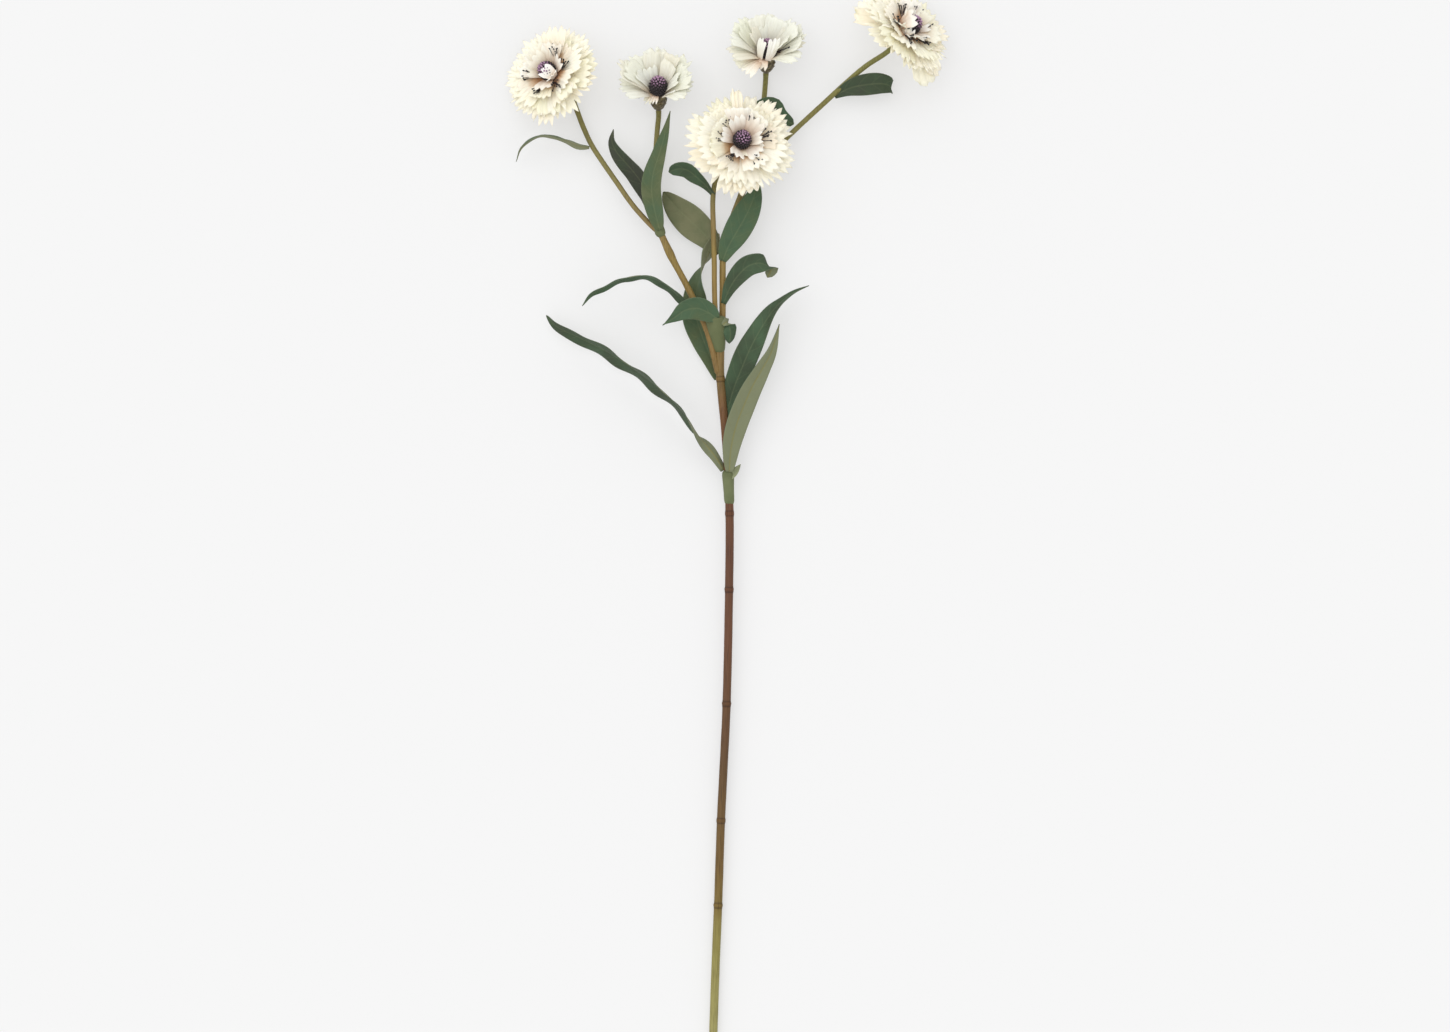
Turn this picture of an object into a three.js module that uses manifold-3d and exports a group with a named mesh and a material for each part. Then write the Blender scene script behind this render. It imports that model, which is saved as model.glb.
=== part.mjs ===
// A cut cornflower stem, lying on a surface as it is put down: one main stem that forks into five
// flower stems, long narrow leaves, three full double blooms and two smaller single ones.
// Millimetres. +Y runs from the cut end of the stem to the flowers, +X is to the right when the stem
// is seen from above, and +Z is up from the surface. The group's origin is the middle of the
// bounding box's footprint, at surface height.
import * as THREE from "three";
import { mergeVertices } from "three/addons/utils/BufferGeometryUtils.js";
import Module from "manifold-3d";

const wasm = await Module();
wasm.setup();

// ---------- driving dimensions ----------
const GAP = 0.35; // room left between two pieces that touch
const STEM_RADIUS = 2.85;
const BRANCH_RADIUS = 2.2;
const FLOWER_STEM_RADIUS = 1.8;
const STEM_SIDES = 8;
const STEM_STEP = 16; // longest step along a stem
const LEAF_THICKNESS = 0.9;
const LEAF_STEP = 13; // longest step along a leaf
const LEAF_KEEL = 0.1; // how far the midrib sits below the edges, as a share of the width
const LEAF_FOOT = 0.26; // the width where a leaf starts, as a share of its full width
const LEAF_POINT = 0.07; // and at its tip
const PETAL_THICKNESS = 0.8;
const CALYX_HEIGHT = 13.5;
const CALYX_RADIUS = 6;
const BUTTON_RADIUS = 6.4;
const BUTTON_HEIGHT = 12;
const RING_SWELL = 0.45; // how far a joint ring stands out of the main stem
const RING_EDGE = 0.8; // half the width of a joint ring
const RING_FOOT = 2.5; // where the stem is back to its own radius on each side of a ring
const SOCKET_LENGTH = 18; // the stretch over which a stem widens to its socket
const NECK = 7; // the straight end of a flower stem under its calyx

const COLOURS = {
  stem: 0x6e5235,
  branch: 0x85734d,
  leaf: 0x4c5f45,
  sheath: 0x797754,
  calyx: 0x61573d,
  cream: 0xf1ebd0,
  white: 0xe7e3d2,
  stamen: 0x2a2226,
  button: 0x624c57,
};

const vector = (x, y, z) => new THREE.Vector3(x, y, z);
const smooth = (points) =>
  new THREE.CatmullRomCurve3(points.map((p) => vector(...p)), false, "centripetal");

// ---------- stems: route, radius, and what swells along the way ----------
// A flower stem's route is finished at its flower, which says where its calyx sits and faces.
const STEMS = {
  main_stem: {
    radius: STEM_RADIUS,
    colour: COLOURS.stem,
    route: [
      [0, 0, 2.9], [1.4, 44, 3.3], [3.4, 93, 4], [5.4, 151, 5], [9.2, 231, 6.4],
      [10.9, 309, 7.6], [11.2, 363, 8.3], [8.8, 411, 9.2], [5, 453, 10.3], [4.2, 474, 11],
    ],
    rings: [93, 151, 231, 309, 361, 453], // joints, by distance from the cut end
    endRadius: 4.3, // the socket that holds the stems above it
  },
  left_branch: {
    radius: BRANCH_RADIUS,
    colour: COLOURS.branch,
    route: [
      [3.4, 456, 11.4], [-0.3, 472, 12.4], [-3.9, 485, 12.4], [-9.6, 499, 12.4],
      [-18.2, 516.5, 12.4], [-27.5, 534, 12.6], [-35.4, 551, 13],
    ],
    rings: [],
    endRadius: 3,
    clears: ["main_stem"],
  },
  right_branch: {
    radius: BRANCH_RADIUS,
    colour: COLOURS.branch,
    route: [
      [6.3, 474.6, 11], [6.4, 490, 11.2], [6.6, 513, 11.8], [7, 537, 12.2], [11.6, 557, 11.4],
      [18.4, 576, 10], [25, 592, 9],
    ],
    rings: [],
    endRadius: 2.9,
    clears: ["main_stem"],
  },
  flower_stem_1: {
    radius: FLOWER_STEM_RADIUS,
    colour: COLOURS.branch,
    route: [
      [-36.6, 552, 13], [-41.6, 556.4, 12.8], [-54.3, 570.4, 11.6], [-66, 587, 9.8],
      [-75.8, 601.2, 8.2], [-83.2, 612.8, 6.8], [-88.4, 624, 5], [-93, 636, 3.8],
    ],
    rings: [],
    flower: "1",
    clears: ["left_branch", "flower_stem_2"],
  },
  flower_stem_2: {
    radius: FLOWER_STEM_RADIUS,
    colour: COLOURS.branch,
    route: [
      [-36, 552.4, 13.2], [-38.9, 567, 12], [-39.4, 584, 10], [-39.2, 606, 6.6],
      [-38.2, 622, 4.4],
    ],
    rings: [],
    flower: "2",
    clears: ["left_branch"],
  },
  flower_stem_3: {
    radius: FLOWER_STEM_RADIUS,
    colour: COLOURS.branch,
    route: [[25.6, 593, 9], [30.4, 614, 7.6], [33.6, 632, 6], [35.2, 648, 4.6]],
    rings: [],
    flower: "3",
    clears: ["right_branch"],
  },
  flower_stem_4: {
    radius: FLOWER_STEM_RADIUS,
    colour: COLOURS.branch,
    route: [
      [26.4, 592.6, 9], [41, 608, 9], [56.6, 623.1, 9], [74.6, 639.7, 9.4], [93.4, 656.9, 10.2],
      [104.4, 666, 10.8],
    ],
    rings: [],
    flower: "4",
    clears: ["right_branch", "flower_stem_3"],
  },
  flower_stem_5: {
    radius: FLOWER_STEM_RADIUS,
    colour: COLOURS.branch,
    route: [
      [2.2, 475, 13.4], [1.8, 490, 15.2], [1, 512, 15.4], [0.8, 533, 15.4], [0.2, 556, 15],
      [0, 577, 13.4], [2.7, 591, 9.4], [8.6, 600, 5.4],
    ],
    rings: [],
    flower: "5",
    clears: ["main_stem", "left_branch", "right_branch"],
  },
};

// Short tubes of leaf that wrap a stem at the foot of a tuft of leaves.
const SHEATHS = {
  lower_sheath: {
    radius: 3.4,
    rings: [],
    endRadius: 4.3,
    route: [[11.2, 367, 8.3], [10.9, 374, 8.5], [10.3, 386, 8.8]],
    clears: ["main_stem"],
  },
  fork_sheath: {
    radius: 4.9,
    rings: [],
    endRadius: 5.2,
    route: [[4, 475.4, 11.6], [3.8, 486, 12.4], [3.8, 496, 13]],
    clears: ["main_stem", "left_branch", "right_branch", "flower_stem_5"],
  },
};

// ---------- leaves: midrib route, full width, and the line across the blade ----------
// across: [turn, lift] in degrees at even places from base to tip. turn is the compass of the line
// from the blade's left edge to its right edge (0 = +X), and lift is how steeply that line rises.
const LEAVES = {
  leaf_lower_left: {
    on: ["main_stem"],
    width: 17,
    midrib: [
      [7, 390.4, 9], [-0.3, 401.4, 13.5], [-11, 412.9, 15], [-18.9, 425, 15.5], [-30.4, 438, 17],
      [-44.7, 450, 18], [-70.4, 468, 17], [-91, 479.4, 14], [-107.3, 488, 11], [-114, 496, 7],
    ],
    across: [[42, 20], [44, 66], [50, 64], [60, 60], [60, 55], [60, 50]],
  },
  leaf_lower_right: {
    on: ["main_stem"],
    width: 18,
    midrib: [
      [8.3, 426, 10.4], [14, 446.5, 12.5], [19.7, 461, 15], [26.4, 476.6, 18], [34.5, 491, 20],
      [42.6, 502.4, 20], [53, 510.6, 18.5], [65.3, 516, 15],
    ],
    across: [[-8, 10], [-16, 12], [-26, 14], [-40, 30], [-55, 62], [-65, 60]],
  },
  leaf_lower_front: {
    on: ["main_stem", "lower_sheath"],
    width: 16,
    midrib: [
      [10.9, 389, 13.6], [12.6, 406.5, 16], [16.2, 421, 19], [21.2, 433.7, 21.4],
      [26.9, 446.5, 23.4], [33.3, 458, 23.6], [39.8, 470, 22.4], [45.2, 489.5, 18],
    ],
    across: [[-5, 0], [-15, -10], [-22, -14], [-22, -20], [-20, -40]],
  },
  leaf_fork_back: {
    on: ["main_stem", "fork_sheath", "left_branch"],
    width: 17.5,
    midrib: [
      [3.3, 452.4, 7], [-1.4, 466.6, 5.2], [-6.8, 479.5, 4.6], [-11.4, 493, 4.8], [-13.2, 508, 5.2],
      [-11.8, 522, 5.8], [-6.7, 535.3, 6], [-2.6, 543, 5.6],
    ],
    across: [[20, 0], [28, 6], [12, 4], [0, 0], [-10, 50], [-30, 60]],
  },
  leaf_fork_front: {
    on: ["fork_sheath", "flower_stem_5", "right_branch"],
    width: 16,
    midrib: [
      [5.6, 489.6, 19], [-1.7, 495, 20.6], [-10.3, 498.6, 23], [-18.9, 497.8, 23.4],
      [-26.1, 494, 21.6], [-34.4, 488.8, 18],
    ],
    across: [[60, 0], [75, 5], [98, 10], [118, 0]],
  },
  leaf_fork_curled: {
    on: ["fork_sheath", "flower_stem_5", "right_branch"],
    width: 7,
    midrib: [[6.4, 489, 19.2], [10.4, 491.6, 17.4], [11.4, 485, 15.6], [11, 476.6, 12.5]],
    across: [[-40, 0], [-60, 0], [-20, -30], [0, -20]],
  },
  leaf_left_arch: {
    on: ["left_branch"],
    width: 11.5,
    midrib: [
      [-14.6, 501, 14], [-20.6, 504.6, 16], [-33.2, 515.6, 19], [-47.5, 521, 21.4],
      [-60, 519.4, 20.4], [-73.3, 514.1, 17], [-83, 509.4, 13], [-89.3, 502.4, 7.5],
    ],
    across: [[40, 30], [62, 66], [80, 76], [92, 78], [104, 60], [118, 50]],
  },
  leaf_middle_left: {
    on: ["right_branch", "flower_stem_5"],
    width: 22.5,
    midrib: [
      [3.8, 538, 9.8], [-5.2, 550.3, 8.6], [-15.2, 560, 7.8], [-25.1, 569.3, 7.6], [-34.1, 580.3, 7.6],
    ],
    across: [[48, 0], [46, 6], [42, 8], [38, 6]],
  },
  leaf_middle_right: {
    on: ["right_branch", "flower_stem_5"],
    width: 19.5,
    midrib: [
      [6.4, 532.6, 15.4], [10, 542, 17.2], [16.2, 553, 18.4], [22.4, 564, 18.8], [27.6, 576, 18.4],
      [30.4, 587, 17.4],
    ],
    across: [[-32, 4], [-34, 8], [-28, 8], [-18, 6]],
  },
  leaf_right_folded: {
    on: ["right_branch"],
    width: 13.5,
    midrib: [
      [7, 503.6, 14], [11.1, 515.2, 17], [16.9, 523.1, 19.5], [24, 529.5, 22],
      [33, 530.6, 23.2], [38.4, 527.6, 19.5], [36.8, 521, 16],
    ],
    across: [[-50, 6], [-48, 10], [-44, 6], [-36, 0], [-30, 0]],
  },
  leaf_stem_1: {
    on: ["flower_stem_1"],
    width: 8.5,
    midrib: [
      [-84.4, 610.4, 8.4], [-92, 611, 10], [-100, 614.2, 12.4], [-108, 617, 14],
      [-117, 617.4, 14.4], [-125, 615, 12.6], [-131, 609.6, 9.4], [-134.5, 601.2, 5],
    ],
    across: [[80, 45], [90, 64], [92, 84], [100, 84], [120, 80], [140, 76]],
  },
  leaf_stem_2_back: {
    on: ["left_branch", "flower_stem_2", "flower_stem_1"],
    width: 13.5,
    midrib: [
      [-39, 560, 10.6], [-42.4, 571, 8], [-47.6, 582.8, 8.2], [-53.4, 591.4, 9.6],
      [-60, 599.4, 11.5], [-66.2, 607, 12.6], [-69.2, 614.2, 12.8], [-68, 622.7, 11.6],
    ],
    across: [[25, 20], [36, 44], [46, 42], [34, 34], [10, 30]],
  },
  leaf_stem_2_front: {
    on: ["left_branch", "flower_stem_2"],
    width: 14,
    midrib: [
      [-36.2, 553.4, 17.2], [-39.7, 566.3, 17.6], [-42.1, 580.2, 18], [-41, 592.2, 18.4],
      [-36.7, 606.2, 18.4], [-32.7, 620.2, 17.4], [-29.2, 635, 14.5],
    ],
    across: [[5, 0], [2, 8], [-10, 14], [-16, 24], [-10, 40]],
  },
  leaf_stem_3: {
    on: ["flower_stem_3"],
    width: 13.5,
    midrib: [
      [30.8, 613.4, 10.4], [30.2, 624, 12.6], [34.4, 636, 14.6], [41.6, 637, 14.4],
      [47, 631, 12.6], [55.2, 626.4, 9],
    ],
    across: [[0, 0], [-20, 5], [-80, 8], [-105, 5]],
  },
  leaf_stem_4: {
    on: ["flower_stem_4"],
    width: 14.5,
    midrib: [
      [82.8, 645.4, 9.6], [92.5, 650.4, 12.4], [104.5, 653, 14], [116, 653.6, 14.4],
      [122, 652, 10.6], [121.6, 648.6, 5.6],
    ],
    across: [[-62, -10], [-72, -8], [-85, 0], [-90, 0], [-90, 0]],
  },
  leaf_stem_5: {
    on: ["flower_stem_5"],
    width: 11,
    midrib: [
      [0.4, 577.4, 14.4], [-5.2, 583.8, 16.4], [-12.2, 589.8, 18], [-18.2, 594, 18.4],
      [-24.1, 594.8, 17.4], [-30.3, 593.2, 15],
    ],
    across: [[48, 20], [50, 30], [70, 36], [84, 25]],
  },
};

// ---------- flowers: where the calyx meets its stem, and which way the bloom faces ----------
const FLOWERS = [
  { name: "1", kind: "double", base: [-102, 654, 7.8], faces: [-0.46, 0.31, 0.83], size: 1.02 },
  { name: "2", kind: "single", base: [-37.3, 636.9, 7], faces: [0, 0.69, 0.72], size: 1 },
  { name: "3", kind: "single", base: [36.1, 662.4, 7], faces: [0.03, 0.68, 0.73], size: 0.98 },
  { name: "4", kind: "double", base: [122.6, 679.2, 17.1], faces: [0.54, 0.54, 0.64], size: 0.98 },
  { name: "5", kind: "double", base: [16.4, 606.8, 14.5], faces: [0.15, 0.3, 0.94], size: 1.07 },
];

// One layer of petals: a thin cone shell with a toothed rim. rise is the slope at the rim in degrees.
const DOUBLE_LAYERS = [
  { name: "petals_outer", colour: COLOURS.cream, radius: 34.5, rise: 0, teeth: 22, depth: 5 },
  { name: "petals_middle", colour: COLOURS.cream, radius: 30.5, rise: 15, teeth: 20, depth: 5 },
  { name: "stamens", colour: COLOURS.stamen, radius: 17.5, rise: 36, teeth: 6, depth: 5 },
  { name: "petals_inner", colour: COLOURS.white, radius: 20, rise: 56, teeth: 14, depth: 3 },
];
const SINGLE_LAYERS = [
  { name: "petals_outer", colour: COLOURS.white, radius: 31.5, rise: 41, teeth: 18, depth: 4 },
  { name: "petals_inner", colour: COLOURS.white, radius: 19, rise: 58, teeth: 12, depth: 3 },
];
const LAYER_PITCH = PETAL_THICKNESS + GAP;
const HUB_RADIUS = 5.2; // the flat middle of a petal layer, where the layers are stacked

// ---------- solids ----------
// Turns a closed three.js geometry into a solid with shared corners.
function solidOf(geometry) {
  const bare = geometry.clone();
  for (const name of Object.keys(bare.attributes)) {
    if (name !== "position") bare.deleteAttribute(name);
  }
  const merged = mergeVertices(bare, 1e-4);
  return new wasm.Manifold(
    new wasm.Mesh({
      numProp: 3,
      vertProperties: new Float32Array(merged.attributes.position.array),
      triVerts: new Uint32Array(merged.index.array),
    }),
  );
}

// Turns a solid back into a geometry. A cut can leave crumbs, so only the largest body is kept.
function geometryOf(solid) {
  const bodies = solid.decompose();
  const largest = bodies.reduce((a, b) => (b.volume() > a.volume() ? b : a));
  const mesh = largest.getMesh();
  const places = new Float32Array(mesh.numVert * 3);
  for (let i = 0; i < mesh.numVert; i++) {
    places.set(mesh.vertProperties.subarray(i * mesh.numProp, i * mesh.numProp + 3), i * 3);
  }
  const geometry = new THREE.BufferGeometry();
  geometry.setAttribute("position", new THREE.BufferAttribute(places, 3));
  geometry.setIndex(new THREE.BufferAttribute(new Uint32Array(mesh.triVerts), 1));
  return geometry;
}

// Moves every corner of a geometry to the place that a function gives for it.
function reshape(geometry, place) {
  const at = geometry.attributes.position;
  for (let i = 0; i < at.count; i++) {
    const to = place(at.getX(i), at.getY(i), at.getZ(i));
    at.setXYZ(i, to.x, to.y, to.z);
  }
  return geometry;
}

// ---------- stems ----------
// Places along a stem, as distances: even steps, with four more at each joint ring.
function stationsOf(length, rings) {
  const steps = Math.ceil(length / STEM_STEP);
  const even = Array.from({ length: steps + 1 }, (_, i) => (i * length) / steps);
  const clear = even.filter((d) => rings.every((r) => Math.abs(d - r) > 2 * RING_FOOT));
  const extra = rings.flatMap((r) => [r - RING_FOOT, r - RING_EDGE, r + RING_EDGE, r + RING_FOOT]);
  return [...clear, ...extra].sort((a, b) => a - b);
}

// How thick a stem is at a distance along it: a ring at each joint, and a socket at the top end.
function radiusAt(stem, distance, length) {
  const onRing = stem.rings.some((r) => Math.abs(distance - r) < RING_EDGE + 0.1);
  const ring = onRing ? RING_SWELL : 0;
  const socket = stem.endRadius ? stem.endRadius - stem.radius : 0;
  const nearEnd = Math.max(0, 1 - (length - distance) / SOCKET_LENGTH);
  return stem.radius + ring + socket * nearEnd;
}

// A flower stem runs straight into its calyx for the last few millimetres.
function routeOf(stem) {
  const flower = FLOWERS.find((f) => f.name === stem.flower);
  if (!flower) return stem.route;
  const axis = vector(...flower.faces).normalize();
  const back = (distance) => vector(...flower.base).addScaledVector(axis, -distance).toArray();
  return [...stem.route, back(NECK), back(GAP + 0.1)];
}

// A stem's solid: a cylinder carried along its route. extra makes it fatter, to cut its neighbours.
function stemSolid(stem, extra = 0) {
  const curve = smooth(routeOf(stem));
  const length = curve.getLength();
  const stations = stationsOf(length, stem.rings);
  const last = stations.length - 1;
  let side = vector(0, 0, 1);
  const frames = stations.map((distance) => {
    const u = Math.min(1, distance / length);
    const along = curve.getTangentAt(u);
    side = side.clone().addScaledVector(along, -side.dot(along)).normalize();
    return {
      centre: curve.getPointAt(u),
      side,
      up: side.clone().cross(along),
      radius: radiusAt(stem, distance, length) + extra,
    };
  });
  const blank = new THREE.CylinderGeometry(1, 1, 1, STEM_SIDES, last);
  return solidOf(
    reshape(blank, (x, y, z) => {
      const frame = frames[Math.round((y + 0.5) * last)];
      return frame.centre
        .clone()
        .addScaledVector(frame.side, x * frame.radius)
        .addScaledVector(frame.up, z * frame.radius);
    }),
  );
}

// ---------- leaves ----------
// A cornflower leaf's outline, as a share of its full width: a narrow foot that fades out along the
// leaf, a blade that is widest near the middle, and a drawn-out point.
function outline(t) {
  const foot = LEAF_FOOT * (1 - t) ** 3;
  const blade = Math.sin(Math.PI * t ** 0.9) ** 0.85 * (1 - 0.22 * t);
  return Math.max(LEAF_POINT, foot + blade);
}

function leafSolid(leaf) {
  const curve = smooth(leaf.midrib);
  const steps = Math.ceil(curve.getLength() / LEAF_STEP) + 2;
  const lines = leaf.across.map(([turn, lift]) => {
    const [a, b] = [THREE.MathUtils.degToRad(turn), THREE.MathUtils.degToRad(lift)];
    return vector(Math.cos(a) * Math.cos(b), Math.sin(a) * Math.cos(b), Math.sin(b));
  });
  const frames = Array.from({ length: steps + 1 }, (_, i) => {
    const t = i / steps;
    const spot = t * (lines.length - 1);
    const low = Math.min(lines.length - 2, Math.floor(spot));
    const along = curve.getTangentAt(t);
    const line = lines[low].clone().lerp(lines[low + 1], spot - low);
    const side = line.addScaledVector(along, -line.dot(along)).normalize();
    const width = leaf.width * outline(t);
    return { centre: curve.getPointAt(t), side, face: along.clone().cross(side), width };
  });
  const blank = new THREE.BoxGeometry(1, 1, 1, 2, 1, steps);
  return solidOf(
    reshape(blank, (x, y, z) => {
      const frame = frames[Math.round((z + 0.5) * steps)];
      const keel = (Math.abs(x) - 0.5) * 2 * LEAF_KEEL * frame.width;
      return frame.centre
        .clone()
        .addScaledVector(frame.side, x * frame.width)
        .addScaledVector(frame.face, y * LEAF_THICKNESS + Math.abs(keel));
    }),
  );
}

// ---------- flowers ----------
// A profile of [radius, height] pairs turned about the flower's own axis, which is +Z.
function turned(profile, sides) {
  const points = profile.map(([r, h]) => new THREE.Vector2(r, h));
  return new THREE.LatheGeometry(points, sides).rotateX(Math.PI / 2);
}

function petalLayer(layer, index, size) {
  const floor = CALYX_HEIGHT + GAP + index * LAYER_PITCH;
  const slope = THREE.MathUtils.degToRad(layer.rise);
  const reach = layer.radius * size - HUB_RADIUS;
  const tip = [HUB_RADIUS + reach * Math.cos(slope), reach * Math.sin(slope)];
  const middle = [HUB_RADIUS + reach * 0.5 * Math.cos(slope), reach * 0.44 * Math.sin(slope)];
  const lower = [[0, 0], [HUB_RADIUS, 0], middle, tip];
  const upper = lower.toReversed().map(([r, h]) => [r, h + PETAL_THICKNESS]);
  const profile = [...lower, ...upper].map(([r, h]) => [r, h + floor]);
  const sides = layer.teeth * 2;
  const blank = turned(profile, sides);
  // Every second corner of the rim is drawn in along the slope, which leaves a tooth between.
  return reshape(blank, (x, y, z) => {
    const r = Math.hypot(x, y);
    const angle = Math.atan2(y, x);
    const spoke = Math.round((angle / (2 * Math.PI)) * sides);
    const onRim = r > tip[0] - 0.01;
    const pull = onRim && spoke % 2 ? layer.depth : 0;
    const to = r - pull * Math.cos(slope);
    return vector(Math.cos(angle) * to, Math.sin(angle) * to, z - pull * Math.sin(slope));
  });
}

function calyx() {
  const [h, r] = [CALYX_HEIGHT, CALYX_RADIUS];
  const profile = [
    [0, 0], [2.2, 0], [4.4, 0.2 * h], [r, 0.5 * h], [0.97 * r, 0.78 * h], [0.72 * r, h], [0, h],
  ];
  return turned(profile, 12);
}

function button(layerCount) {
  const floor = CALYX_HEIGHT + GAP + layerCount * LAYER_PITCH;
  const [h, r] = [BUTTON_HEIGHT, BUTTON_RADIUS];
  const profile = [
    [0, 0], [0.62 * r, 0], [0.92 * r, 0.3 * h], [r, 0.62 * h], [0.9 * r, 0.86 * h],
    [0.5 * r, h], [0, 1.04 * h],
  ];
  return turned(profile.map(([a, b]) => [a, b + floor]), 12);
}

// ---------- the plant ----------
const plant = new THREE.Group();

function add(parent, name, geometry, colour, roughness) {
  const material = new THREE.MeshStandardMaterial({ color: colour, roughness, metalness: 0 });
  const mesh = new THREE.Mesh(geometry, material);
  mesh.name = name;
  parent.add(mesh);
}

// What a piece has to stay clear of, by name, made once each.
const fat = {};
for (const [name, stem] of Object.entries({ ...STEMS, ...SHEATHS })) fat[name] = stemSolid(stem, GAP);
const cutClear = (solid, names = []) => names.reduce((left, n) => left.subtract(fat[n]), solid);

for (const [name, stem] of Object.entries(STEMS)) {
  add(plant, name, geometryOf(cutClear(stemSolid(stem), stem.clears)), stem.colour, 0.55);
}
for (const [name, sheath] of Object.entries(SHEATHS)) {
  add(plant, name, geometryOf(cutClear(stemSolid(sheath), sheath.clears)), COLOURS.sheath, 0.7);
}
for (const [name, leaf] of Object.entries(LEAVES)) {
  add(plant, name, geometryOf(cutClear(leafSolid(leaf), leaf.on)), COLOURS.leaf, 0.75);
}
for (const flower of FLOWERS) {
  const head = new THREE.Group();
  head.position.set(...flower.base);
  head.quaternion.setFromUnitVectors(vector(0, 0, 1), vector(...flower.faces).normalize());
  plant.add(head);
  const layers = flower.kind === "double" ? DOUBLE_LAYERS : SINGLE_LAYERS;
  add(head, `calyx_${flower.name}`, calyx(), COLOURS.calyx, 0.6);
  layers.forEach((layer, i) => {
    const petals = petalLayer(layer, i, flower.size);
    add(head, `${layer.name}_${flower.name}`, petals, layer.colour, 0.85);
  });
  add(head, `button_${flower.name}`, button(layers.length), COLOURS.button, 0.8);
}

// The origin goes to the middle of the footprint, on the surface.
const bounds = new THREE.Box3().setFromObject(plant, true);
const middle = bounds.getCenter(new THREE.Vector3());
plant.position.set(-middle.x, -middle.y, -bounds.min.z);

export default plant;
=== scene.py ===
import math
import random

import bpy
from mathutils import Matrix, Vector


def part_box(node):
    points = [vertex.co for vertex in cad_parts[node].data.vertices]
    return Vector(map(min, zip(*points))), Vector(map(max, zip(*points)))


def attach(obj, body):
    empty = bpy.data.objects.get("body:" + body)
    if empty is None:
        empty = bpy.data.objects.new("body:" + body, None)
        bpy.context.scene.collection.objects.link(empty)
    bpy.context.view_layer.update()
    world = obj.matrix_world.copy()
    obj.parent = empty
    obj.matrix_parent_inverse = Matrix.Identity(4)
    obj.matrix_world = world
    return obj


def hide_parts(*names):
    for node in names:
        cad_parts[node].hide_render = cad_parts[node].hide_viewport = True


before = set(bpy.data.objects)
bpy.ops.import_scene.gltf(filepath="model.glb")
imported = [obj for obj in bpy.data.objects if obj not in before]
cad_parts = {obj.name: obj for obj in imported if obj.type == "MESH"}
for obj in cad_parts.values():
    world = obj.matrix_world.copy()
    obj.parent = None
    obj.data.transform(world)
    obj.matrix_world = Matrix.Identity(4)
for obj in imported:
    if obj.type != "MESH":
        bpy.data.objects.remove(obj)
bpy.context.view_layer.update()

# ---------- the surface, the light and the camera ----------
# The stem lies on a plain white light table under a wide, even studio light, so that it hardly throws
# a shadow. The camera hangs straight above it.


def linear(hex_colour):
    """An sRGB hex value as the linear colour that a shader works in."""
    shares = [int(hex_colour[i : i + 2], 16) / 255 for i in (1, 3, 5)]
    light = [s / 12.92 if s <= 0.04045 else ((s + 0.055) / 1.055) ** 2.4 for s in shares]
    return (*light, 1.0)


def feed(node, feeds):
    """Fills a node's sockets, each with a value, another node's output, or a node's first output."""
    for socket, source in feeds.items():
        if isinstance(socket, str):
            socket = next(i for i, s in enumerate(node.inputs) if s.enabled and s.name == socket)
        if isinstance(source, bpy.types.Node):
            source = next(s for s in source.outputs if s.enabled)
        if isinstance(source, bpy.types.NodeSocket):
            node.id_data.links.new(source, node.inputs[socket])
        else:
            node.inputs[socket].default_value = source


def add_node(tree, kind, feeds=None, stops=None, **settings):
    """Adds a node with its settings, feeds its sockets, and fills a ramp with its stops."""
    node = tree.nodes.new(kind)
    for name, value in settings.items():
        setattr(node, name, value)
    feed(node, feeds or {})
    if stops:
        ramp = node.color_ramp
        while len(ramp.elements) < len(stops):
            ramp.elements.new(0.5)
        for element, (at, colour) in zip(ramp.elements, stops):
            element.position = at
            element.color = linear(colour)
    return node


def start_material(name):
    """Starts a node material, and gives it, its tree and its shader."""
    material = bpy.data.materials.new(name)
    material.use_nodes = True
    return material, material.node_tree, material.node_tree.nodes["Principled BSDF"]


def add_object(name, data):
    """Adds an object to the scene, at the origin."""
    made = bpy.data.objects.new(name, data)
    bpy.context.scene.collection.objects.link(made)
    return made


# A sheet of opal acrylic lit from below: matt, even, and bright enough to swallow most shadows.
opal_acrylic, tree, shader = start_material("backlit_opal_acrylic")
feed(
    shader,
    {
        "Base Color": linear("#a6a6a6"),
        "Roughness": 0.9,
        "Specular IOR Level": 0.1,
        "Emission Color": linear("#ffffff"),
        "Emission Strength": 0.471,
    },
)

BOARD_HALF = 4.0  # half the side of the sheet, in metres
board_mesh = bpy.data.meshes.new("board")
board_corners = [(x * BOARD_HALF, y * BOARD_HALF, 0) for x, y in ((-1, -1), (1, -1), (1, 1), (-1, 1))]
board_mesh.from_pydata(board_corners, [], [(0, 1, 2, 3)])
board_mesh.materials.append(opal_acrylic)
board = add_object("board", board_mesh)

studio = bpy.data.worlds.new("studio")
studio.use_nodes = True
feed(studio.node_tree.nodes["Background"], {"Color": linear("#ffffff"), "Strength": 0.94})
bpy.context.scene.world = studio

SOFTBOX_SPREAD = 75  # degrees of sky that the big soft light fills
SOFTBOX_TILT = (-22, -24)  # degrees it leans from straight overhead, about X and about Y
softbox_light = bpy.data.lights.new("softbox", "SUN")
softbox_light.energy = 0.95
softbox_light.angle = math.radians(SOFTBOX_SPREAD)
softbox = add_object("softbox", softbox_light)
softbox.rotation_euler = (math.radians(SOFTBOX_TILT[0]), math.radians(SOFTBOX_TILT[1]), 0)

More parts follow.
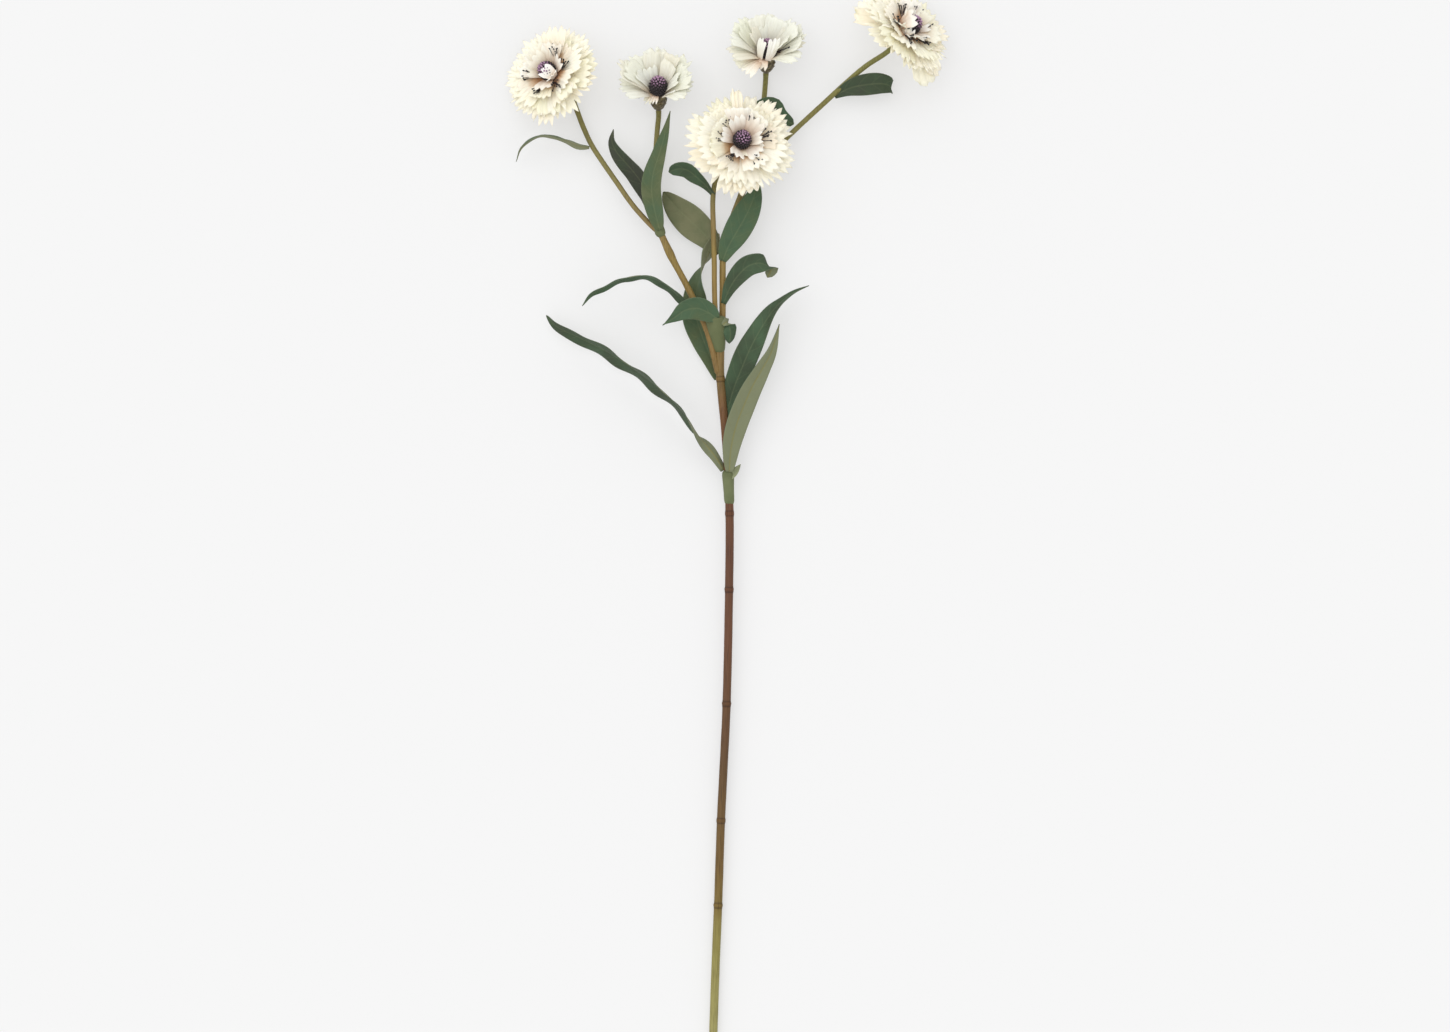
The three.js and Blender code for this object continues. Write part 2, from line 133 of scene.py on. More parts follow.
CAMERA_HEIGHT = 3.0  # high up, so that the raised blooms are not drawn large
VIEW_MIDDLE = (-0.0014, 0.0013)
VIEW_LEVEL = 0.02  # the height of the leaves
VIEW_WIDTH = 0.986  # how much the camera takes in, at that height
camera_data = bpy.data.cameras.new("camera")
camera_data.sensor_width = 36
camera_data.lens = camera_data.sensor_width * (CAMERA_HEIGHT - VIEW_LEVEL) / VIEW_WIDTH
camera = add_object("camera", camera_data)
camera.location = (*VIEW_MIDDLE, CAMERA_HEIGHT)
bpy.context.scene.camera = camera
bpy.context.scene.view_settings.view_transform = "Standard"

# ---------- the main stem ----------
# One long moulding of soft polyethylene over a steel wire: green at the cut, red-brown further up,
# with a raised joint ring every hand's width and a socket at the top for the branches.
MM = 0.001
STEM_RADIUS = 2.85
RING_SWELL = 0.45  # how far a joint ring stands out
RING_LENGTH = 1.3
BULGE_SWELL = 0.6  # a bulge is a longer, softer swelling, such as the one on the left branch
BULGE_LENGTH = 6
SOCKET_LENGTH = 18
STEM_JOINTS = [93, 151, 231, 309, 361, 453]  # distances from the cut end
STEM_ROUTE = [
    (0, 0, 2.9), (1.4, 44, 3.3), (3.4, 93, 4), (5.4, 151, 5), (9.2, 231, 6.4),
    (10.9, 309, 7.6), (11.2, 363, 8.3), (8.8, 411, 9.2), (5, 453, 10.3), (4.2, 474, 11),
]

# Every size below is in millimetres from the middle of the cut, at surface height.
stem_low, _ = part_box("main_stem")
CUT_TILT = 0.09  # the cut face leans a little, so its low edge is this far behind its middle
datum = stem_low + Vector((STEM_RADIUS, CUT_TILT, STEM_RADIUS - STEM_ROUTE[0][2])) * MM


def place(point):
    """A point of the plant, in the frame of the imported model."""
    return datum + Vector(point) * MM


def smooth_line(corners, step):
    """Even stations on a centripetal Catmull-Rom line through the corners, and its length."""
    points = [Vector(c) for c in corners]
    points = [2 * points[0] - points[1], *points, 2 * points[-1] - points[-2]]
    dense = []
    pieces = 24  # between two corners
    for a, b, c, d in zip(points, points[1:], points[2:], points[3:]):
        ab, bc, cd = [max(1e-6, (q - p).length) ** 0.5 for p, q in ((a, b), (b, c), (c, d))]
        leaves = ((b - a) / ab - (c - a) / (ab + bc) + (c - b) / bc) * bc
        arrives = ((c - b) / bc - (d - b) / (bc + cd) + (d - c) / cd) * bc
        for i in range(pieces):
            t = i / pieces
            square = -3 * b + 3 * c - 2 * leaves - arrives
            cube = 2 * b - 2 * c + leaves + arrives
            dense.append(b + t * leaves + t * t * square + t**3 * cube)
    dense.append(points[-2])
    run = [0.0]
    for p, q in zip(dense, dense[1:]):
        run.append(run[-1] + (q - p).length)
    count = max(8, round(run[-1] / step))
    stations = []
    k = 0
    for i in range(count + 1):
        want = run[-1] * i / count
        while k < len(run) - 2 and run[k + 1] < want:
            k += 1
        stations.append(dense[k].lerp(dense[k + 1], (want - run[k]) / (run[k + 1] - run[k])))
    return stations, run[-1]


def start_tree(name, sizes):
    """Starts a Geometry Nodes tree with named inputs, and gives it and its input node."""
    made = bpy.data.node_groups.new(name, "GeometryNodeTree")
    made.interface.new_socket("Start", in_out="INPUT", socket_type="NodeSocketGeometry")
    for size, kind in sizes.items():
        made.interface.new_socket(size, in_out="INPUT", socket_type="NodeSocket" + kind)
    made.interface.new_socket("Piece", in_out="OUTPUT", socket_type="NodeSocketGeometry")
    return made, made.nodes.new("NodeGroupInput")


def end_tree(made, sizes, geometry):
    """Ends a tree with real meshes in place of instances, in the material that it was given."""
    real = add_node(made, "GeometryNodeRealizeInstances", {"Geometry": geometry})
    coated = add_node(
        made, "GeometryNodeSetMaterial", {"Geometry": real, "Material": sizes.outputs["Material"]}
    )
    add_node(made, "NodeGroupOutput", {"Piece": coated})


def grow(name, made, sizes, start=None):
    """Runs a tree on a start mesh, or on an empty one, and gives an object with a plain mesh."""
    piece = add_object(name, bpy.data.meshes.new("start") if start is None else start)
    modifier = piece.modifiers.new("tree", "NODES")
    modifier.node_group = made
    for item in made.interface.items_tree:
        if item.in_out == "INPUT" and item.name in sizes:
            modifier[item.identifier] = sizes[item.name]
    graph = bpy.context.evaluated_depsgraph_get()
    grown = bpy.data.meshes.new_from_object(
        piece.evaluated_get(graph), preserve_all_data_layers=True, depsgraph=graph
    )
    piece.modifiers.remove(modifier)
    piece.data = grown
    grown.name = name
    return piece


def hand_over(piece, node):
    """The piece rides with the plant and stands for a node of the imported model."""
    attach(piece, "root")
    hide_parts(node)


# The tree carries a round profile along a line, and roughens it with the grain of the mould.
stem_tree, sizes = start_tree(
    "moulding_along_a_line",
    {"Sides": "Int", "Grain depth": "Float", "Grain scale": "Float", "Material": "Material"},
)
line = add_node(stem_tree, "GeometryNodeMeshToCurve", {"Mesh": sizes.outputs["Start"]})
profile = add_node(
    stem_tree, "GeometryNodeCurvePrimitiveCircle", {"Resolution": sizes.outputs["Sides"], "Radius": 1.0}
)
thickness = add_node(
    stem_tree, "GeometryNodeInputNamedAttribute", {"Name": "thickness"}, data_type="FLOAT"
)
skin = add_node(
    stem_tree,
    "GeometryNodeCurveToMesh",
    {
        "Curve": line,
        "Profile Curve": profile,
        "Scale": thickness,
        "Fill Caps": True,
    },
)
spot = add_node(stem_tree, "GeometryNodeInputPosition")
# Grain is drawn out along the stem, because the mould was opened lengthwise.
drawn_out = add_node(
    stem_tree, "ShaderNodeVectorMath", {0: spot, 1: (1.0, 0.12, 1.0)}, operation="MULTIPLY"
)
grain = add_node(
    stem_tree,
    "ShaderNodeTexNoise",
    {"Vector": drawn_out, "Scale": sizes.outputs["Grain scale"], "Detail": 3.0},
)
level = add_node(stem_tree, "ShaderNodeMath", {0: grain, 1: 0.5}, operation="SUBTRACT")
depth = add_node(
    stem_tree, "ShaderNodeMath", {0: level, 1: sizes.outputs["Grain depth"]}, operation="MULTIPLY"
)
outwards = add_node(stem_tree, "GeometryNodeInputNormal")
push = add_node(stem_tree, "ShaderNodeVectorMath", {0: outwards, "Scale": depth}, operation="SCALE")
rough = add_node(stem_tree, "GeometryNodeSetPosition", {"Geometry": skin, "Offset": push})
soft = add_node(stem_tree, "GeometryNodeSetShadeSmooth", {"Geometry": rough})
end_tree(stem_tree, sizes, soft)


def mark_points(mesh, **shares):
    """Gives a mesh named numbers, one at each point, for its tree and its material to read."""
    for name, values in shares.items():
        mesh.attributes.new(name, "FLOAT", "POINT").data.foreach_set("value", values)


def stem_line(
    name, route, radius, step=1.5, joints=(), bulges=(), socket=None, socket_length=SOCKET_LENGTH,
    end_taper=0.35,
):
    """The line a stem follows, with its thickness at each station and how near a joint ring is.

    joints and bulges are distances from its foot, socket is its radius at the far end, and end_taper
    is how much its ends are rounded off."""
    stations, length = smooth_line(route, step)
    mesh = bpy.data.meshes.new(name)
    mesh.from_pydata([place(s) for s in stations], [(i, i + 1) for i in range(len(stations) - 1)], [])
    thick, joint = [], []
    for i in range(len(stations)):
        distance = length * i / (len(stations) - 1)
        near = [math.exp(-(((distance - j) / RING_LENGTH) ** 2)) for j in joints]
        ring = max(near, default=0.0)
        bulge = sum(BULGE_SWELL * math.exp(-(((distance - b) / BULGE_LENGTH) ** 2)) for b in bulges)
        from_end = max(0.0, 1 - (length - distance) / socket_length)
        flare = ((socket or radius) - radius) * from_end**1.3
        rounding = 1 - end_taper * math.exp(-min(distance, length - distance) / (2.5 * end_taper**2))
        thick.append((radius + RING_SWELL * ring + bulge + flare) * rounding * MM)
        joint.append(ring)
    mark_points(mesh, thickness=thick, joint=joint)
    return mesh


SPRAY_SWAY = 0.015  # how far uneven spraying moves a band's edge, in metres


def moulded_polyethylene(name, bands):
    """Soft moulded plastic, sprayed in bands that run into each other along the stem."""
    material, tree, shader = start_material(name)
    where = add_node(tree, "ShaderNodeTexCoord")
    axes = add_node(tree, "ShaderNodeSeparateXYZ", {"Vector": where.outputs["Object"]})
    spray = add_node(tree, "ShaderNodeTexNoise", {"Vector": where.outputs["Object"], "Scale": 45.0})
    sway = add_node(
        tree,
        "ShaderNodeMath",
        {0: spray, 1: 2 * SPRAY_SWAY, 2: axes.outputs["Y"]},
        operation="MULTIPLY_ADD",
    )
    first, last = bands[0][0], bands[-1][0]
    along = add_node(
        tree,
        "ShaderNodeMapRange",
        {
            "Value": sway,
            "From Min": place((0, first, 0)).y + SPRAY_SWAY,
            "From Max": place((0, last, 0)).y + SPRAY_SWAY,
        },
    )
    base = add_node(
        tree,
        "ShaderNodeValToRGB",
        {"Fac": along},
        stops=[((y - first) / (last - first), colour) for y, colour in bands],
    )
    # Streaks half a millimetre wide and 20 times as long, where the spray ran into the mould's grain.
    stretch = add_node(
        tree, "ShaderNodeMapping", {"Vector": where.outputs["Object"], "Scale": (1, 0.05, 1)}
    )
    streak = add_node(tree, "ShaderNodeTexNoise", {"Vector": stretch, "Scale": 1400.0, "Detail": 4.0})
    streak_tone = add_node(
        tree,
        "ShaderNodeValToRGB",
        {"Fac": streak},
        stops=[(0.3, "#b5b0a6"), (0.55, "#ffffff"), (0.8, "#dcd6ca")],
    )
    streaked = add_node(
        tree,
        "ShaderNodeMix",
        {"Factor": 0.75, "A": base, "B": streak_tone},
        data_type="RGBA",
        blend_type="MULTIPLY",
    )
    # Paint gathers in the step beside a joint ring and leaves a thin dark line.
    ring = add_node(tree, "ShaderNodeAttribute", attribute_name="joint")
    gathered = add_node(
        tree,
        "ShaderNodeValToRGB",
        {"Fac": ring.outputs["Fac"]},
        stops=[(0.02, "#ffffff"), (0.25, "#9b8b74"), (0.6, "#e9dcc2"), (0.95, "#fff6e2")],
    )
    painted = add_node(
        tree,
        "ShaderNodeMix",
        {"Factor": 0.8, "A": streaked, "B": gathered},
        data_type="RGBA",
        blend_type="MULTIPLY",
    )
    rubbed = add_node(tree, "ShaderNodeMapRange", {"Value": streak, "To Min": 0.4, "To Max": 0.62})
    pores = add_node(tree, "ShaderNodeTexNoise", {"Vector": where.outputs["Object"], "Scale": 2500.0})
    bump = add_node(tree, "ShaderNodeBump", {"Height": pores, "Strength": 0.25, "Distance": 0.0002})
    feed(
        shader,
        {
            "Base Color": painted,
            "Roughness": rubbed,
            "Normal": bump,
            "IOR": 1.51,
            "Specular IOR Level": 0.3,
        },
    )
    return material


stem_plastic = moulded_polyethylene(
    "moulded_polyethylene_stem",
    [
        (0, "#99935c"), (60, "#8d8549"), (92, "#7a6832"), (125, "#6e552a"), (193, "#5d4327"),
        (275, "#66422b"), (339, "#5f3c28"), (400, "#70482d"), (428, "#765334"), (450, "#7c653a"),
        (480, "#7f683c"),
    ],
)

main_stem = grow(
    "main_stem_moulding",
    stem_tree,
    {"Sides": 20, "Grain depth": 0.00035, "Grain scale": 420.0, "Material": stem_plastic},
    stem_line("main_stem_line", STEM_ROUTE, STEM_RADIUS, joints=STEM_JOINTS, socket=3.6),
)
hand_over(main_stem, "main_stem")

# ---------- branches and flower stems ----------
# Thinner mouldings of the same plastic, pushed into the sockets below them. They turn from brown at
# the fork to olive under the flowers, and each flower stem runs straight into its calyx.
BRANCH_RADIUS = 2.2
FLOWER_STEM_RADIUS = 1.77
NECK = 7  # the straight end of a flower stem
NECK_GAP = 0.45  # what is left between its end and the calyx
# base is the foot of a flower's calyx, faces is the way it looks, and back is the turn of its back
# petals about that way, in degrees.
FLOWERS = {
    "1": {
        "double": True, "size": 1.02, "back": 130,
        "base": (-102, 654, 7.8), "faces": (-0.46, 0.31, 0.83),
    },
    "2": {
        "double": False, "size": 1.0, "back": 90,
        "base": (-37.3, 636.9, 7), "faces": (0, 0.69, 0.72),
    },
    "3": {
        "double": False, "size": 0.98, "back": 84,
        "base": (36.1, 662.4, 7), "faces": (0.03, 0.68, 0.73),
    },
    "4": {
        "double": True, "size": 0.98, "back": 40,
        "base": (122.6, 679.2, 17.1), "faces": (0.54, 0.54, 0.64),
    },
    "5": {
        "double": True, "size": 1.07, "back": 95,
        "base": (16.4, 606.8, 14.5), "faces": (0.15, 0.3, 0.94),
    },
}
BRANCHES = {
    "left_branch": {
        "socket": 2.3, "bulges": [89],
        "route": [
            (3.4, 456, 11.4), (-0.3, 472, 12.4), (-3.9, 485, 12.4), (-9.6, 499, 12.4),
            (-18.2, 516.5, 12.4), (-27.5, 534, 12.6), (-35.4, 551, 13),
        ],
    },
    "right_branch": {
        "socket": 2.9, "bulges": [],
        "route": [
            (6.3, 474.6, 11), (6.4, 490, 11.2), (6.6, 513, 11.8), (7, 537, 12.2), (11.6, 557, 11.4),
            (18.4, 576, 10), (25, 592, 9),
        ],
    },
}
FLOWER_STEMS = {
    "1": [
        (-36.6, 552, 13), (-41.6, 556.4, 12.8), (-54.3, 570.4, 11.6), (-66, 587, 9.8),
        (-75.8, 601.2, 8.2), (-83.2, 612.8, 6.8), (-88.4, 624, 5), (-93, 636, 3.9),
    ],
    "2": [(-36, 552.4, 13.2), (-38.9, 567, 12), (-39.4, 584, 10), (-39.2, 606, 6.6), (-38.2, 622, 4.4)],
    "3": [(25.6, 593, 9), (30.4, 614, 7.6), (33.6, 632, 6), (35.2, 648, 4.6)],
    "4": [
        (26.4, 592.6, 9), (41, 608, 9), (56.6, 623.1, 9), (74.6, 639.7, 9.4), (93.4, 656.9, 10.2),
        (104.4, 666, 10.8),
    ],
    "5": [
        (2.2, 475, 13.4), (1.8, 490, 15.2), (1, 512, 15.4), (0.8, 533, 15.4), (0.2, 556, 15),
        (0, 577, 13.4), (2.7, 591, 9.4), (8.6, 600, 5.4),
    ],
}

branch_plastic = moulded_polyethylene(
    "moulded_polyethylene_branch",
    [
        (456, "#80663a"), (500, "#8d7340"), (538, "#8d7840"), (556, "#867246"), (590, "#7f7747"),
        (640, "#7a743f"), (700, "#7d7f46"),
    ],
)

for name, branch in BRANCHES.items():
    piece = grow(
        name + "_moulding",
        stem_tree,
        {"Sides": 16, "Grain depth": 0.0003, "Grain scale": 480.0, "Material": branch_plastic},
        stem_line(
            name + "_line", branch["route"], BRANCH_RADIUS, bulges=branch["bulges"],
            socket=branch["socket"],
        ),
    )
    hand_over(piece, name)

for number, route in FLOWER_STEMS.items():
    flower = FLOWERS[number]
    axis = Vector(flower["faces"]).normalized()
    neck = [tuple(Vector(flower["base"]) - axis * back) for back in (NECK, NECK_GAP)]
    piece = grow(
        f"flower_stem_{number}_moulding",
        stem_tree,
        {"Sides": 14, "Grain depth": 0.00025, "Grain scale": 520.0, "Material": branch_plastic},
        stem_line(
            f"flower_stem_{number}_line", route + neck, FLOWER_STEM_RADIUS, socket=2.1, socket_length=6
        ),
    )
    hand_over(piece, f"flower_stem_{number}")

# ---------- leaves ----------
# Long blades cut from printed polyester cloth and pressed with a midrib, deep green above and grey
# green below. Each is glued to its stem by a narrow foot, and bent by hand, so no two lie alike.
LEAF_KEEL = 0.1  # how deep the trough is, as a share of the blade's width
LEAF_FOOT = 0.26  # the widths of its foot and its point, as shares of its full width
LEAF_POINT = 0.03
GROOVE_DEPTH = 0.35
GROOVE_WIDTH = 0.8
LEAF_CLOTH = 0.4  # thickness
LEAF_STEP = 2.0  # length of a row of faces
LEAF_STRIPS = 14  # faces across a blade
VEIN_SPACING = 5.0
THREAD_SPACING = 0.9  # threads are a third of this, too fine to show, so they are drawn coarser


def woven_threads(tree, cloth):
    """Warp and weft on the flat cloth, one ridge per thread in each direction."""
    threads = add_node(
        tree,
        "ShaderNodeVectorMath",
        {0: cloth, 1: (2 * math.pi / THREAD_SPACING,) * 3},
        operation="MULTIPLY",
    )
    counted = add_node(tree, "ShaderNodeSeparateXYZ", {"Vector": threads})
    warp = add_node(tree, "ShaderNodeMath", {0: counted.outputs["X"]}, operation="SINE")
    weft = add_node(tree, "ShaderNodeMath", {0: counted.outputs["Y"]}, operation="SINE")
    return add_node(tree, "ShaderNodeMath", {0: warp, 1: weft}, operation="MULTIPLY")


def printed_polyester(name, tones, midrib, vein_strength, rib_strength):
    """Woven cloth with a printed leaf pattern: soft veins, a midrib line, and a dull sheen."""
    material, tree, shader = start_material(name)
    cloth = add_node(tree, "ShaderNodeUVMap", uv_map="cloth")
    flat = add_node(tree, "ShaderNodeSeparateXYZ", {"Vector": cloth})
    where = add_node(tree, "ShaderNodeTexCoord")
    tone = add_node(tree, "ShaderNodeAttribute", attribute_name="tone")
    # Mottling 15 mm across moves each leaf's own tone a little.
    mottle = add_node(
        tree, "ShaderNodeTexNoise", {"Vector": where.outputs["Object"], "Scale": 65.0, "Detail": 5.0}
    )
    dye = add_node(
        tree, "ShaderNodeMath", {0: mottle, 1: 0.7, 2: tone.outputs["Fac"]}, operation="MULTIPLY_ADD"
    )
    centred = add_node(tree, "ShaderNodeMath", {0: dye, 1: 0.35}, operation="SUBTRACT")
    green = add_node(tree, "ShaderNodeValToRGB", {"Fac": centred}, stops=tones)
    # Side veins leave the midrib at a slant, one every few millimetres.
    out_from_rib = add_node(tree, "ShaderNodeMath", {0: flat.outputs["X"]}, operation="ABSOLUTE")
    slant = add_node(
        tree, "ShaderNodeMath", {0: out_from_rib, 1: -1.3, 2: flat.outputs["Y"]}, operation="MULTIPLY_ADD"
    )
    wander = add_node(tree, "ShaderNodeTexNoise", {"Vector": cloth, "Scale": 0.12, "Detail": 2.0})
    wandering = add_node(tree, "ShaderNodeMath", {0: wander, 1: 6.0, 2: slant}, operation="MULTIPLY_ADD")
    repeat = add_node(tree, "ShaderNodeMath", {0: wandering, 1: VEIN_SPACING}, operation="PINGPONG")
    vein = add_node(
        tree,
        "ShaderNodeMapRange",
        {"Value": repeat, "From Min": 0.0, "From Max": 0.9, "To Min": 1.0, "To Max": 0.0},
        interpolation_type="SMOOTHSTEP",
    )
    vein_share = add_node(tree, "ShaderNodeMath", {0: vein, 1: vein_strength}, operation="MULTIPLY")
    veined = add_node(
        tree, "ShaderNodeMix", {"Factor": vein_share, "A": green, "B": linear(midrib)}, data_type="RGBA"
    )
    # The midrib is a pale line about a millimetre wide.
    rib = add_node(
        tree,
        "ShaderNodeMapRange",
        {
            "Value": out_from_rib,
            "From Min": 0.15,
            "From Max": 0.8,
            "To Min": rib_strength,
            "To Max": 0.0,
        },
        interpolation_type="SMOOTHSTEP",
    )
    ribbed = add_node(
        tree, "ShaderNodeMix", {"Factor": rib, "A": veined, "B": linear(midrib)}, data_type="RGBA"
    )
    # Cut edges fray paler.
    across = add_node(tree, "ShaderNodeAttribute", attribute_name="across")
    edge = add_node(tree, "ShaderNodeMath", {0: across.outputs["Fac"]}, operation="ABSOLUTE")
    frayed = add_node(
        tree,
        "ShaderNodeMapRange",
        {"Value": edge, "From Min": 0.93, "From Max": 1.0, "To Min": 0.0, "To Max": 0.2},
    )
    worn = add_node(
        tree, "ShaderNodeMix", {"Factor": frayed, "A": ribbed, "B": linear("#8f9479")}, data_type="RGBA"
    )
    # Veins are pressed in between the threads.
    raised = add_node(
        tree,
        "ShaderNodeMath",
        {0: vein, 1: -2.0, 2: woven_threads(tree, cloth)},
        operation="MULTIPLY_ADD",
    )
    bump = add_node(tree, "ShaderNodeBump", {"Height": raised, "Strength": 0.35, "Distance": 0.00012})
    dull = add_node(tree, "ShaderNodeMapRange", {"Value": mottle, "To Min": 0.55, "To Max": 0.75})
    feed(
        shader,
        {
            "Base Color": worn,
            "Roughness": dull,
            "Normal": bump,
            "IOR": 1.53,
            "Specular IOR Level": 0.22,
            "Sheen Weight": 0.04,
            "Sheen Roughness": 0.5,
        },
    )
    return material


leaf_face = printed_polyester(
    "printed_polyester_leaf_face",
    [(0.0, "#3b3f33"), (0.25, "#3c4a35"), (0.5, "#465d43"), (0.72, "#545f40"), (1.0, "#727355")],
    "#7c8560",
    0.09,
    0.17,
)
leaf_back = printed_polyester(
    "printed_polyester_leaf_back",
    [(0.0, "#6f7459"), (0.5, "#797e61"), (1.0, "#87866a")],
    "#7f7a45",
    0.12,
    0.6,
)

